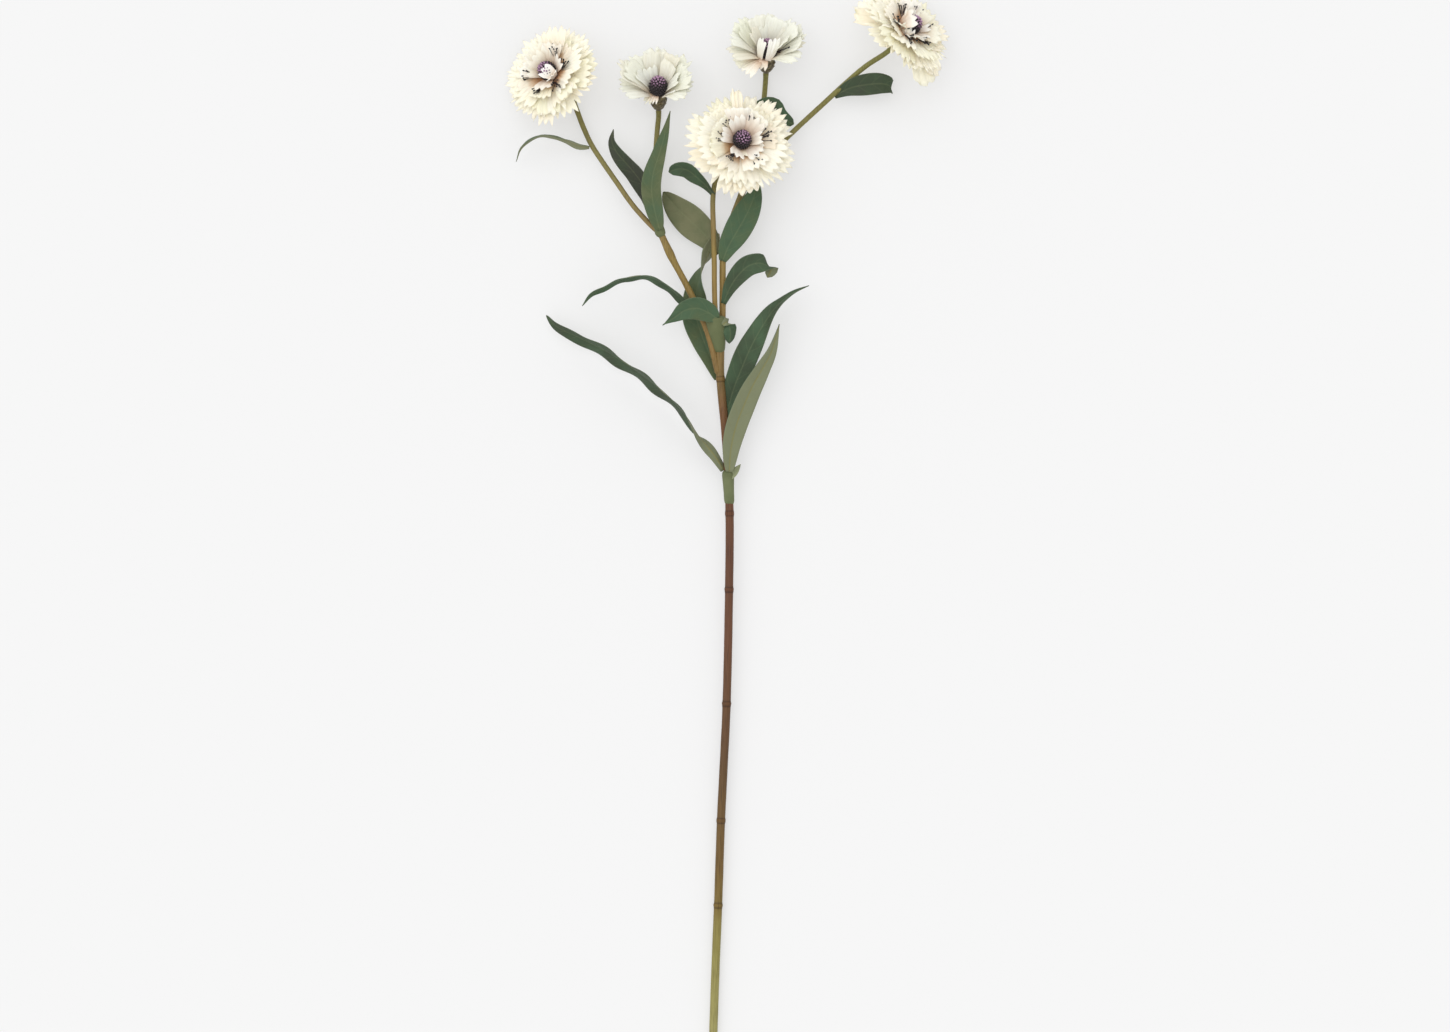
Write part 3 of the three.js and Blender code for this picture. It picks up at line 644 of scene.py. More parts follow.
# across is the compass of the line over the blade from left to right, and how steeply it rises, at
# even places from foot to tip. tone runs from dark to olive. wave is how high the edges ripple, how
# many times, and from what phase.
LEAVES = {
    "leaf_lower_left": {
        "width": 17, "tone": 0.26, "wave": (1.3, 5, 0.4), "fullest": 0.55, "blunt": 0.6,
        "shows_back": True,
        "midrib": [
            (7, 390.4, 9), (-0.3, 401.4, 13.5), (-11, 412.9, 15), (-18.9, 425, 15.5), (-30.4, 438, 17),
            (-44.7, 450, 18), (-70.4, 468, 17), (-91, 479.4, 14), (-107.3, 488, 11), (-114, 496, 7),
        ],
        "across": [
            (42, 168), (42, 158), (44, 86), (47, 78), (50, 74), (55, 72), (60, 70), (60, 64), (60, 58),
            (60, 49), (60, 40),
        ],
    },
    "leaf_lower_right": {
        "width": 18, "tone": 0.33, "wave": (0.8, 3, 1.0),
        "midrib": [
            (8.3, 426, 10.4), (14, 446.5, 12.5), (19.7, 461, 15), (26.4, 476.6, 18), (34.5, 491, 20),
            (42.6, 502.4, 20), (53, 510.6, 18.5), (65.3, 516, 15),
        ],
        "across": [(-8, 10), (-16, 12), (-26, 14), (-40, 30), (-55, 62), (-65, 60)],
    },
    "leaf_lower_front": {
        "width": 16, "tone": 0.35, "wave": (0.5, 3, 2.0), "shows_back": True,
        "midrib": [
            (10.9, 389, 13.6), (12.6, 406.5, 16), (16.2, 421, 19), (21.2, 433.7, 21.4),
            (26.9, 446.5, 23.4), (33.3, 458, 23.6), (39.8, 470, 22.4), (45.2, 489.5, 18),
        ],
        "across": [(-5, 0), (-15, -10), (-22, -14), (-22, -20), (-20, -40)],
    },
    "leaf_fork_back": {
        "width": 18, "tone": 0.6, "wave": (0.7, 3, 0.2), "fullest": 0.5, "blunt": 1.0,
        "midrib": [
            (3.3, 452.4, 7), (-1.4, 466.6, 5.2), (-6.8, 479.5, 4.6), (-11.4, 493, 4.8), (-12.8, 508, 7),
            (-10.8, 522, 9.4), (-5.7, 535.3, 8), (-0.6, 545, 6), (4, 552, 5.4),
        ],
        "across": [
            (20, 0), (28, 6), (18, 8), (10, 12), (0, 34), (-6, 74), (172, 50), (165, 35),
        ],
    },
    "leaf_fork_front": {
        "width": 17, "tone": 0.52, "wave": (0.5, 2, 0.9), "fullest": 0.44, "blunt": -0.8,
        "midrib": [
            (3.2, 493, 19.6), (-3.4, 497.4, 21), (-10.8, 500, 23), (-18.9, 498.6, 23.4),
            (-26.1, 494, 21.6), (-34.4, 488.8, 18),
        ],
        "across": [(60, 0), (75, 5), (98, 10), (118, 0)],
    },
    "leaf_fork_curled": {
        "width": 9.5, "tone": 0.45, "wave": (0.3, 2, 0.0), "fullest": 0.55, "blunt": 0.7,
        "midrib": [(6.4, 489, 19.2), (10.4, 491.6, 17.4), (11.4, 485, 15.6), (11, 476.6, 12.5)],
        "across": [(-40, 0), (-60, 0), (-20, -30), (0, -20)],
    },
    "leaf_left_arch": {
        "width": 11.5, "tone": 0.42, "wave": (0.7, 4, 0.5), "shows_back": True,
        "midrib": [
            (-14.6, 501, 14), (-20.6, 504.6, 16), (-33.2, 515.6, 19), (-47.5, 521, 21.4),
            (-60, 519.4, 20.4), (-73.3, 514.1, 17), (-83, 509.4, 13), (-89.3, 502.4, 7.5),
        ],
        "across": [(40, 30), (62, 66), (80, 76), (92, 78), (104, 60), (118, 50)],
    },
    "leaf_middle_left": {
        "width": 22, "tone": 0.9, "wave": (0.6, 2, 1.4), "fullest": 0.54, "blunt": 0.5,
        "midrib": [
            (3.8, 538, 9.8), (-5.2, 550.3, 8.6), (-15.2, 560, 7.8), (-25.1, 569.3, 7.6),
            (-34.1, 580.3, 7.6),
        ],
        "across": [(48, 0), (46, 6), (42, 8), (38, 6)],
    },
    "leaf_middle_right": {
        "width": 19.5, "tone": 0.5, "wave": (0.6, 2, 0.3), "fullest": 0.52, "blunt": 0.4,
        "midrib": [
            (6.4, 532.6, 15.4), (10, 542, 17.2), (16.2, 553, 18.4), (22.4, 564, 18.8), (27.6, 576, 18.4),
            (30.4, 587, 17.4),
        ],
        "across": [(-32, 4), (-34, 8), (-28, 8), (-18, 6)],
    },
    "leaf_right_folded": {
        "width": 14, "tone": 0.34, "wave": (0.5, 2, 0.8), "fullest": 0.56, "blunt": 0.9,
        "midrib": [
            (7, 503.6, 14), (11.6, 515.2, 17), (17.6, 523.6, 19.5), (24.6, 529.3, 22),
            (34, 530.8, 23.2), (40, 528.4, 19.5), (37, 521.4, 16),
        ],
        "across": [(-50, 6), (-48, 10), (-44, 6), (-36, 0), (-30, 0)],
    },
    "leaf_stem_1": {
        "width": 8.5, "tone": 0.6, "wave": (0.5, 3, 0.1),
        "midrib": [
            (-84.4, 610.4, 8.4), (-92, 611, 10), (-100, 614.2, 12.4), (-108, 617, 14),
            (-117, 617.4, 14.4), (-125, 615, 12.6), (-131, 609.6, 9.4), (-134.5, 601.2, 5),
        ],
        "across": [(80, 45), (90, 64), (92, 84), (100, 84), (120, 80), (140, 76)],
    },
    "leaf_stem_2_back": {
        "width": 15.5, "tone": 0.02, "wave": (0.5, 3, 1.1), "fullest": 0.5,
        "midrib": [
            (-39, 560, 10.6), (-42.4, 571, 8), (-47.6, 582.8, 8.2), (-53.4, 591.4, 9.6),
            (-60, 599.4, 11.5), (-66.2, 607, 12.6), (-69.2, 614.2, 12.8), (-68, 622.7, 11.6),
        ],
        "across": [(25, 20), (36, 40), (46, 38), (34, 30), (10, 26)],
    },
    "leaf_stem_2_front": {
        "width": 14, "tone": 0.7, "wave": (0.5, 3, 0.6), "fullest": 0.42,
        "midrib": [
            (-36.2, 553.4, 17.2), (-39.7, 566.3, 17.6), (-42.1, 580.2, 18), (-41, 592.2, 18.4),
            (-36.7, 606.2, 18.4), (-32.7, 620.2, 17.4), (-29.2, 635, 14.5),
        ],
        "across": [(5, 0), (2, 8), (-10, 14), (-16, 24), (-10, 40)],
    },
    "leaf_stem_3": {
        "width": 14.5, "tone": 0.4, "wave": (0.5, 2, 0.4), "fullest": 0.55, "blunt": 0.9,
        "midrib": [
            (30.8, 613.4, 10.4), (30.2, 624, 12.6), (34.4, 636, 14.6), (41.6, 637, 14.4),
            (47, 631, 12.6), (55.2, 626.4, 9),
        ],
        "across": [(0, 0), (-20, 5), (-80, 8), (-105, 5)],
    },
    "leaf_stem_4": {
        "width": 14.5, "tone": 0.2, "wave": (0.4, 2, 0.9), "fullest": 0.56, "blunt": 1.0,
        "midrib": [
            (82.8, 645.4, 9.6), (92.5, 650.4, 12.4), (104.5, 653, 14), (116, 653.6, 14.4),
            (122, 652, 10.6), (121.6, 648.6, 5.6),
        ],
        "across": [(-62, -10), (-72, -8), (-85, 0), (-90, 0), (-90, 0)],
    },
    "leaf_stem_5": {
        "width": 12, "tone": 0.34, "wave": (0.5, 2, 1.7), "fullest": 0.66, "blunt": 0.8,
        "midrib": [
            (0.4, 577.4, 14.4), (-5.2, 583.8, 16.4), (-12.2, 589.8, 18), (-18.2, 594, 18.4),
            (-24.1, 594.8, 17.4), (-30.3, 593.2, 15),
        ],
        "across": [(48, 20), (50, 30), (70, 36), (84, 25)],
    },
}


def leaf_outline(t, fullest, bluntness):
    """A blade's width from foot to tip, as a share of its full width.

    fullest is how far along it is widest, and bluntness how square its end is."""
    foot = LEAF_FOOT * (1 - t) ** 3
    peak = math.log(0.5) / math.log(fullest)
    blade = math.sin(math.pi * t**peak) ** (0.85 - 0.45 * bluntness * t)
    blade *= 1 - 0.22 * t * (1 - bluntness)
    return max(LEAF_POINT, foot + blade)


def blade_sides(midrib, across, step):
    """Stations along a midrib, each with its centre, its line over the blade, and up out of it."""
    stations, length = smooth_line(midrib, step)
    lines = []
    for turn, lift in across:
        a, b = math.radians(turn), math.radians(lift)
        lines.append(Vector((math.cos(a) * math.cos(b), math.sin(a) * math.cos(b), math.sin(b))))
    frames = []
    for i, centre in enumerate(stations):
        t = i / (len(stations) - 1)
        spot = t * (len(lines) - 1)
        k = min(len(lines) - 2, int(spot))
        along = (stations[min(i + 1, len(stations) - 1)] - stations[max(i - 1, 0)]).normalized()
        line = lines[k].lerp(lines[k + 1], spot - k)
        side = (line - along * line.dot(along)).normalized()
        frames.append((t, centre, side, side.cross(along)))
    return frames, length


def smooth_mesh(name, points, faces, flats=None):
    """A smooth mesh, with its cut pattern laid flat as the UV map, where it is cloth."""
    mesh = bpy.data.meshes.new(name)
    mesh.from_pydata(points, [], faces)
    mesh.polygons.foreach_set("use_smooth", [True] * len(faces))
    if flats:
        layer = mesh.uv_layers.new(name="cloth")
        for loop in mesh.loops:
            layer.data[loop.index].uv = flats[loop.vertex_index]
    return mesh


def leaf_mesh(name, leaf):
    """A pressed leaf: a trough with a grooved midrib, rippled edges and a drawn-out point."""
    frames, length = blade_sides(leaf["midrib"], leaf["across"], LEAF_STEP)
    ripple, count, phase = leaf["wave"]
    columns = LEAF_STRIPS + 1
    points, flats, across, faces = [], [], [], []
    for t, centre, side, up in frames:
        width = leaf["width"] * leaf_outline(t, leaf.get("fullest", 0.46), leaf.get("blunt", 0.0))
        half = width / 2
        for j in range(columns):
            x = 2 * j / LEAF_STRIPS - 1
            out = abs(x)
            trough = -LEAF_KEEL * width * (1 - out**1.3)
            groove = -GROOVE_DEPTH * math.exp(-((x * half / GROOVE_WIDTH) ** 2)) * min(1, width / 6)
            beat = math.sin(2 * math.pi * count * t + phase + (0.9 if x > 0 else 0))
            wave = ripple * beat * out**2.5 * math.sin(math.pi * t)
            points.append(place(centre + side * (x * half) + up * (trough + groove + wave)))
            flats.append((x * half, length * t))
            across.append(x)
    for i in range(len(frames) - 1):
        for j in range(LEAF_STRIPS):
            a = i * columns + j
            faces.append((a, a + 1, a + columns + 1, a + columns))
    mesh = smooth_mesh(name, points, faces, flats)
    mark_points(mesh, tone=[leaf["tone"]] * len(points), across=across)
    return mesh


def face_up(mesh, shows_back):
    """Faces follow the pressed side, which is up unless the leaf is turned over."""
    normal = mesh.polygons[len(mesh.polygons) // 2].normal
    if (normal.z < 0) != shows_back:
        mesh.flip_normals()


def thicken(piece, thickness, back_material=0):
    """Gives a sheet its thickness in millimetres, half to each side, and the material of its back."""
    layer = piece.modifiers.new("thickness", "SOLIDIFY")
    layer.thickness = thickness * MM
    layer.offset = 0
    layer.material_offset = back_material


for name, leaf in LEAVES.items():
    mesh = leaf_mesh(name + "_cloth", leaf)
    face_up(mesh, leaf.get("shows_back", False))
    mesh.materials.append(leaf_face)
    mesh.materials.append(leaf_back)
    piece = add_object(name + "_cloth", mesh)
    thicken(piece, LEAF_CLOTH, back_material=1)
    hand_over(piece, name)

# ---------- sheaths ----------
# Strips of leaf cloth wound round the stem and glued, where a tuft of leaves starts. They hide the
# feet of the leaves, and on the lower one a cut corner of the strip stands out as a small ear.
sheath_cloth = printed_polyester(
    "wound_polyester_sheath",
    [(0.0, "#5f6644"), (0.3, "#757b58"), (0.5, "#868c6b"), (0.7, "#979a7a"), (1.0, "#a08a66")],
    "#74775a",
    0.0,
    0.0,
)
SHEATHS = {
    "lower_sheath": {
        "radius": 3.6, "socket": 4.6, "flare": 18,
        "route": [(11.2, 366, 8.3), (10.9, 374, 8.5), (10.2, 391, 9)],
    },
    "fork_sheath": {
        "radius": 4.0, "socket": 8.4, "flare": 26,
        "route": [(4.3, 469.5, 11.3), (3.6, 478, 12), (2.6, 486, 12.6), (1.6, 495.5, 13)],
    },
}
# The same strip closes the joints where the flower stems leave the two branches.
JOINT_WRAPS = {
    "left_branch": {
        "radius": 3.9, "socket": 3.0,
        "route": [(-34.6, 549, 13), (-36.2, 553, 13.1), (-37.8, 558, 13), (-38.6, 563, 12.7)],
    },
    "right_branch": {
        "radius": 3.4, "socket": 2.8,
        "route": [(23.4, 588.6, 9.2), (25.6, 592.6, 9), (28.4, 597.4, 9), (30.4, 601, 8.9)],
    },
}


def wind_cloth(name, node, strip, flare, creases):
    """Winds a strip of leaf cloth round its route, in rough turns with rounded ends."""
    wound = stem_line(
        name + "_line", strip["route"], strip["radius"], step=0.7, socket=strip["socket"],
        socket_length=flare, end_taper=0.7,
    )
    piece = grow(name, stem_tree, {"Sides": 24, "Material": sheath_cloth, **creases}, wound)
    hand_over(piece, node)


for name, sheath in SHEATHS.items():
    creases = {"Grain depth": 0.0012, "Grain scale": 260.0}
    wind_cloth(name + "_cloth", name, sheath, sheath["flare"], creases)

for name, wrap in JOINT_WRAPS.items():
    creases = {"Grain depth": 0.0016, "Grain scale": 300.0}
    wind_cloth(name + "_wrap", name, wrap, SOCKET_LENGTH, creases)

EAR = {
    "width": 5.5, "tone": 0.5, "wave": (0.2, 1, 0.0),
    "midrib": [(11, 384, 12), (13.6, 388, 12.4), (16.4, 391.4, 12), (18.8, 394.4, 11)],
    "across": [(-45, 0), (-45, 10), (-40, 20)],
}
ear_mesh = leaf_mesh("lower_sheath_ear", EAR)
face_up(ear_mesh, False)
ear_mesh.materials.append(sheath_cloth)
ear = add_object("lower_sheath_ear", ear_mesh)
thicken(ear, LEAF_CLOTH)
hand_over(ear, "lower_sheath")

# ---------- calyces ----------
# Under each bloom sits a hollow moulded urn, covered in overlapping scales that are part of the
# same moulding. It is olive brown, with painted shade where the scales tuck under each other.
CALYX_HEIGHT = 13.5
URN_PROFILE = [(0.0, 2.2), (0.2, 4.4), (0.5, 6.0), (0.78, 5.82), (1.0, 4.3)]  # height share, radius
URN_STEPS = 12
URN_SINK = 0.4  # how far the urn's own wall lies inside its scales
SCALE_ROWS = 6
SCALES_IN_ROW = 9
SCALE_LENGTH = 5.6
SCALE_HALF_WIDTH = 2.5
SCALE_THICKNESS = 0.35
SCALE_SPAN = 0.36  # the share of the urn's height that a scale covers
SCALE_RISE = 5.2
ROW_FOOT = 0.02  # the height share of the lowest row, and how much higher the top row stands
ROWS_UP = 0.72

moulded_calyx, tree, shader = start_material("moulded_polyethylene_calyx")
where = add_node(tree, "ShaderNodeTexCoord")
tone = add_node(tree, "ShaderNodeAttribute", attribute_name="tone")
reach = add_node(tree, "ShaderNodeAttribute", attribute_name="reach")
dabs = add_node(tree, "ShaderNodeTexNoise", {"Vector": where.outputs["Object"], "Scale": 380.0})
painted_shade_and_dabs = add_node(
    tree, "ShaderNodeMath", {0: dabs, 1: 0.5, 2: reach.outputs["Fac"]}, operation="MULTIPLY_ADD"
)
# Low reach, at the foot of each scale and on the urn wall, takes the dark end of this ramp as painted
# shade.
olive = add_node(
    tree,
    "ShaderNodeValToRGB",
    {"Fac": painted_shade_and_dabs},
    stops=[(0.15, "#453b25"), (0.6, "#5f5437"), (0.95, "#736844"), (1.0, "#52442d")],
)
# Each scale took the paint a little darker or lighter.
lifted = add_node(
    tree, "ShaderNodeMapRange", {"Value": tone.outputs["Fac"], "To Min": 0.85, "To Max": 1.15}
)
varied = add_node(tree, "ShaderNodeHueSaturation", {"Color": olive, "Value": lifted})
bump = add_node(tree, "ShaderNodeBump", {"Height": dabs, "Strength": 0.3, "Distance": 0.0002})
feed(shader, {"Base Color": varied, "Roughness": 0.5, "Normal": bump, "IOR": 1.51})

KINDS_OF_BLADE = 4  # how many cuts a ring picks its blades from

# The tree sets blades in a ring about +Z. A blade is made with its foot at the origin and its tip
# towards +X, and is picked by chance from a collection, with its own lean, turn, size and tone.
ring_tree, sizes = start_tree(
    "ring_of_blades",
    {
        "Blades": "Collection", "Count": "Int", "Foot radius": "Float", "Height": "Float",
        "Lean": "Float", "Lean spread": "Float", "First turn": "Float", "Step": "Float",
        "Turn spread": "Float", "Roll spread": "Float", "Size": "Float", "Size spread": "Float",
        "Seed": "Int", "Material": "Material",
    },
)


def chance(low, high, seed_step):
    """A random number per blade, whose seed is the ring's seed and a step."""
    seed = add_node(
        ring_tree, "ShaderNodeMath", {0: sizes.outputs["Seed"], 1: float(seed_step)}, operation="ADD"
    )
    drawn = add_node(
        ring_tree, "FunctionNodeRandomValue", {"Min": low, "Max": high, "Seed": seed}, data_type="FLOAT"
    )
    return drawn


def spread_of(name, seed_step):
    """A random number per blade from minus to plus one of the ring's spreads."""
    return add_node(
        ring_tree,
        "ShaderNodeMath",
        {0: chance(-1.0, 1.0, seed_step), 1: sizes.outputs[name]},
        operation="MULTIPLY",
    )


number = add_node(ring_tree, "GeometryNodeInputIndex")
even_turn = add_node(
    ring_tree,
    "ShaderNodeMath",
    {0: number, 1: sizes.outputs["Step"], 2: sizes.outputs["First turn"]},
    operation="MULTIPLY_ADD",
)
turn = add_node(ring_tree, "ShaderNodeMath", {0: even_turn, 1: spread_of("Turn spread", 1)})
east = add_node(ring_tree, "ShaderNodeMath", {0: turn}, operation="COSINE")
north = add_node(ring_tree, "ShaderNodeMath", {0: turn}, operation="SINE")
direction = add_node(ring_tree, "ShaderNodeCombineXYZ", {"X": east, "Y": north})
out_to_foot = add_node(
    ring_tree,
    "ShaderNodeVectorMath",
    {0: direction, "Scale": sizes.outputs["Foot radius"]},
    operation="SCALE",
)
up_to_foot = add_node(ring_tree, "ShaderNodeCombineXYZ", {"Z": sizes.outputs["Height"]})
foot = add_node(ring_tree, "ShaderNodeVectorMath", {0: out_to_foot, 1: up_to_foot})
feet = add_node(ring_tree, "GeometryNodePoints", {"Count": sizes.outputs["Count"], "Position": foot})
lean = add_node(ring_tree, "ShaderNodeMath", {0: sizes.outputs["Lean"], 1: spread_of("Lean spread", 2)})
tip_up = add_node(ring_tree, "ShaderNodeMath", {0: lean, 1: -1.0}, operation="MULTIPLY")
angles = add_node(
    ring_tree, "ShaderNodeCombineXYZ", {"X": spread_of("Roll spread", 3), "Y": tip_up, "Z": turn}
)
set_at = add_node(ring_tree, "FunctionNodeEulerToRotation", {"Euler": angles})
grown_by = add_node(ring_tree, "ShaderNodeMath", {0: spread_of("Size spread", 4), 1: 1.0})
size = add_node(
    ring_tree, "ShaderNodeMath", {0: grown_by, 1: sizes.outputs["Size"]}, operation="MULTIPLY"
)
blade_kinds = add_node(
    ring_tree,
    "GeometryNodeCollectionInfo",
    {"Collection": sizes.outputs["Blades"], "Separate Children": True, "Reset Children": True},
)
pick = add_node(
    ring_tree,
    "FunctionNodeRandomValue",
    {"Min": 0, "Max": KINDS_OF_BLADE - 1, "Seed": sizes.outputs["Seed"]},
    data_type="INT",
)
blades = add_node(
    ring_tree,
    "GeometryNodeInstanceOnPoints",
    {
        "Points": feet,
        "Instance": blade_kinds,
        "Pick Instance": True,
        "Instance Index": pick,
        "Rotation": set_at,
        "Scale": size,
    },
)
toned = add_node(
    ring_tree,
    "GeometryNodeStoreNamedAttribute",
    {"Geometry": blades, "Name": "tone", "Value": chance(0.0, 1.0, 5)},
    data_type="FLOAT",
    domain="INSTANCE",
)
end_tree(ring_tree, sizes, toned)


def collection_of(name, meshes):
    """Blades that a ring picks from, kept out of the scene."""
    made = bpy.data.collections.new(name)
    for i, mesh in enumerate(meshes):
        made.objects.link(bpy.data.objects.new(f"{name}_{i}", mesh))
    return made


def blade_grid(name, rows, columns, shape):
    """A blade from a function of how far along and across it a point is, in millimetres."""
    points, faces, flats = [], [], []
    reach, across = [], []
    for i in range(rows + 1):
        for j in range(columns + 1):
            x = 2 * j / columns - 1
            point, flat, along = shape(i / rows, x)
            points.append(Vector(point) * MM)
            flats.append(flat)
            reach.append(along)
            across.append(x)
    for i in range(rows):
        for j in range(columns):
            a = i * (columns + 1) + j
            faces.append((a, a + columns + 1, a + columns + 2, a + 1))
    mesh = smooth_mesh(name, points, faces, flats)
    mark_points(mesh, reach=reach, across=across)
    return mesh


def set_on_stem(piece, flower):
    """Puts a piece made about +Z on its flower, facing its way, and gives the piece back."""
    turn = Vector((0, 0, 1)).rotation_difference(Vector(flower["faces"]))
    piece.data.transform(Matrix.Translation(place(flower["base"])) @ turn.to_matrix().to_4x4())
    return piece


def calyx_scale(seed):
    """One scale: a pointed shield that curls round the urn."""
    chooser = random.Random(seed)
    length = SCALE_LENGTH + chooser.uniform(-0.3, 0.3)

    def shape(s, x):
        taper = math.sin(math.pi * (0.28 + 0.72 * s)) ** 0.7
        wide = SCALE_HALF_WIDTH * taper * (1 if s < 0.999 else 0)
        lift = 0.45 * (x * wide) ** 2 / SCALE_HALF_WIDTH + 0.5 * s * s * (-1 if seed % 2 else -0.6)
        return (s * length, x * wide, lift), (x * wide, s * length), s

    return blade_grid(f"calyx_scale_{seed}", 6, 4, shape)


calyx_scales = collection_of("calyx_scales", [calyx_scale(i) for i in range(KINDS_OF_BLADE)])


def turned_mesh(name, profile, sides):
    """A body turned about +Z from height and radius pairs, closed at both ends, in millimetres."""
    points, faces = [], []
    for height, radius in profile:
        for k in range(sides):
            a = 2 * math.pi * k / sides
            points.append(Vector((radius * math.cos(a), radius * math.sin(a), height)) * MM)
    for i in range(len(profile) - 1):
        for k in range(sides):
            a, b = i * sides + k, i * sides + (k + 1) % sides
            faces.append((a, b, b + sides, a + sides))
    last = (len(profile) - 1) * sides
    faces.append(tuple(range(sides - 1, -1, -1)))
    faces.append(tuple(range(last, last + sides)))
    return smooth_mesh(name, points, faces)


def urn_radius(share):
    """The urn's radius at a share of its height."""
    for (low, first), (high, last) in zip(URN_PROFILE, URN_PROFILE[1:]):
        if share <= high:
            return first + (last - first) * (share - low) / (high - low)
    return URN_PROFILE[-1][1]


for number, flower in FLOWERS.items():
    profile = [
        (CALYX_HEIGHT * i / URN_STEPS, urn_radius(i / URN_STEPS) - URN_SINK) for i in range(URN_STEPS + 1)
    ]
    urn_mesh = turned_mesh("urn", profile, 20)
    wall = len(urn_mesh.vertices)
    # The urn wall's low reach darkens it as painted shade between the scales.
    mark_points(urn_mesh, tone=[0.5] * wall, reach=[0.1] * wall)
    urn_mesh.materials.append(moulded_calyx)
    urn = set_on_stem(add_object(f"calyx_{number}_urn", urn_mesh), flower)
    hand_over(urn, f"calyx_{number}")
    for row in range(SCALE_ROWS):
        low = ROW_FOOT + ROWS_UP * row / (SCALE_ROWS - 1)
        run = urn_radius(low + SCALE_SPAN) - urn_radius(low)
        count = SCALES_IN_ROW - (2 if row == 0 else 0)
        scales = grow(
            f"calyx_{number}_scales_{row + 1}",
            ring_tree,
            {
                "Blades": calyx_scales,
                "Count": count,
                "Foot radius": (urn_radius(low) - 0.3) * MM,
                "Height": low * CALYX_HEIGHT * MM,
                "Lean": math.atan2(SCALE_RISE, run),
                "Lean spread": 0.06,
                "First turn": row * math.pi / SCALES_IN_ROW,
                "Step": 2 * math.pi / count,
                "Turn spread": 0.08,
                "Roll spread": 0.08,
                "Size": 0.8 if row == 0 else 0.95,
                "Size spread": 0.06,
                "Seed": 40 + row + 10 * int(number),
                "Material": moulded_calyx,
            },
        )
        set_on_stem(scales, flower)
        thicken(scales, SCALE_THICKNESS)
        hand_over(scales, f"calyx_{number}")

# ---------- petals ----------
# Rings die-cut from thin polyester cloth with a toothed rim, pressed hot so that each petal is
# pleated and curls, then threaded on the stem and fluffed by hand. Dyed cream, whiter inside, with a
# brownish base where the dye pools.


def pressed_polyester(name, shades, odd_tooth):
    """Thin pressed cloth: matt, soft sheen, a little light comes through, fine creases lengthwise."""
    material, tree, shader = start_material(name)
    cloth = add_node(tree, "ShaderNodeUVMap", uv_map="cloth")
    where = add_node(tree, "ShaderNodeTexCoord")
    reach = add_node(tree, "ShaderNodeAttribute", attribute_name="reach")
    tone = add_node(tree, "ShaderNodeAttribute", attribute_name="tone")
    pool = add_node(
        tree, "ShaderNodeTexNoise", {"Vector": where.outputs["Object"], "Scale": 160.0, "Detail": 3.0}
    )
    uneven = add_node(
        tree, "ShaderNodeMath", {0: pool, 1: 0.24, 2: reach.outputs["Fac"]}, operation="MULTIPLY_ADD"
    )
    settled = add_node(tree, "ShaderNodeMath", {0: uneven, 1: 0.12}, operation="SUBTRACT")
    dye = add_node(tree, "ShaderNodeValToRGB", {"Fac": settled}, stops=shades)
    # Each petal takes the dye a little differently.
    own = add_node(
        tree,
        "ShaderNodeValToRGB",
        {"Fac": tone.outputs["Fac"]},
        stops=[(0.0, "#f6f7ea"), (0.3, "#fffefa"), (0.7, "#ffffff"), (1.0, "#fcf5ec")],
    )
    petal = add_node(
        tree,
        "ShaderNodeMix",
        {"Factor": 1.0, "A": dye, "B": own},
        data_type="RGBA",
        blend_type="MULTIPLY",
    )
    # Here and there a tooth is stained beige or green, in spots some 6 mm across.
    spots = add_node(
        tree, "ShaderNodeTexNoise", {"Vector": where.outputs["Object"], "Scale": 150.0, "Detail": 1.0}
    )
    few = add_node(
        tree,
        "ShaderNodeMapRange",
        {"Value": spots, "From Min": 0.6, "From Max": 0.72},
        interpolation_type="SMOOTHSTEP",
    )
    at_rim = add_node(
        tree,
        "ShaderNodeMapRange",
        {"Value": reach.outputs["Fac"], "From Min": 0.82, "From Max": 1.0},
        interpolation_type="SMOOTHSTEP",
    )
    both = add_node(tree, "ShaderNodeMath", {0: few, 1: at_rim}, operation="MULTIPLY")
    stained = add_node(
        tree, "ShaderNodeMix", {"Factor": both, "A": petal, "B": linear(odd_tooth)}, data_type="RGBA"
    )
    # Creases run from the base to the teeth, about one a millimetre, and the colour is darkened in
    # streaks along them as painted shade.
    lengthwise = add_node(tree, "ShaderNodeMapping", {"Vector": cloth, "Scale": (1.0, 0.07, 1.0)})
    crease = add_node(tree, "ShaderNodeTexNoise", {"Vector": lengthwise, "Scale": 1.1, "Detail": 3.0})
    crease_painted_shade = add_node(
        tree,
        "ShaderNodeValToRGB",
        {"Fac": crease},
        stops=[(0.3, "#f6f3ec"), (0.5, "#ffffff"), (0.75, "#fbf9f4")],
    )
    creased_with_painted_shade = add_node(
        tree,
        "ShaderNodeMix",
        {"Factor": 0.8, "A": stained, "B": crease_painted_shade},
        data_type="RGBA",
        blend_type="MULTIPLY",
    )
    relief = add_node(
        tree,
        "ShaderNodeMath",
        {0: crease, 1: 5.0, 2: woven_threads(tree, cloth)},
        operation="MULTIPLY_ADD",
    )
    bump = add_node(tree, "ShaderNodeBump", {"Height": relief, "Strength": 0.3, "Distance": 0.0001})
    feed(
        shader,
        {
            "Base Color": creased_with_painted_shade,
            "Roughness": 0.78,
            "Normal": bump,
            "IOR": 1.53,
            "Specular IOR Level": 0.25,
            "Sheen Weight": 0.15,
            "Sheen Roughness": 0.4,
            "Subsurface Weight": 0.25,
            "Subsurface Radius": (1.0, 0.97, 0.9),
            "Subsurface Scale": 0.0015,
        },
    )
    return material


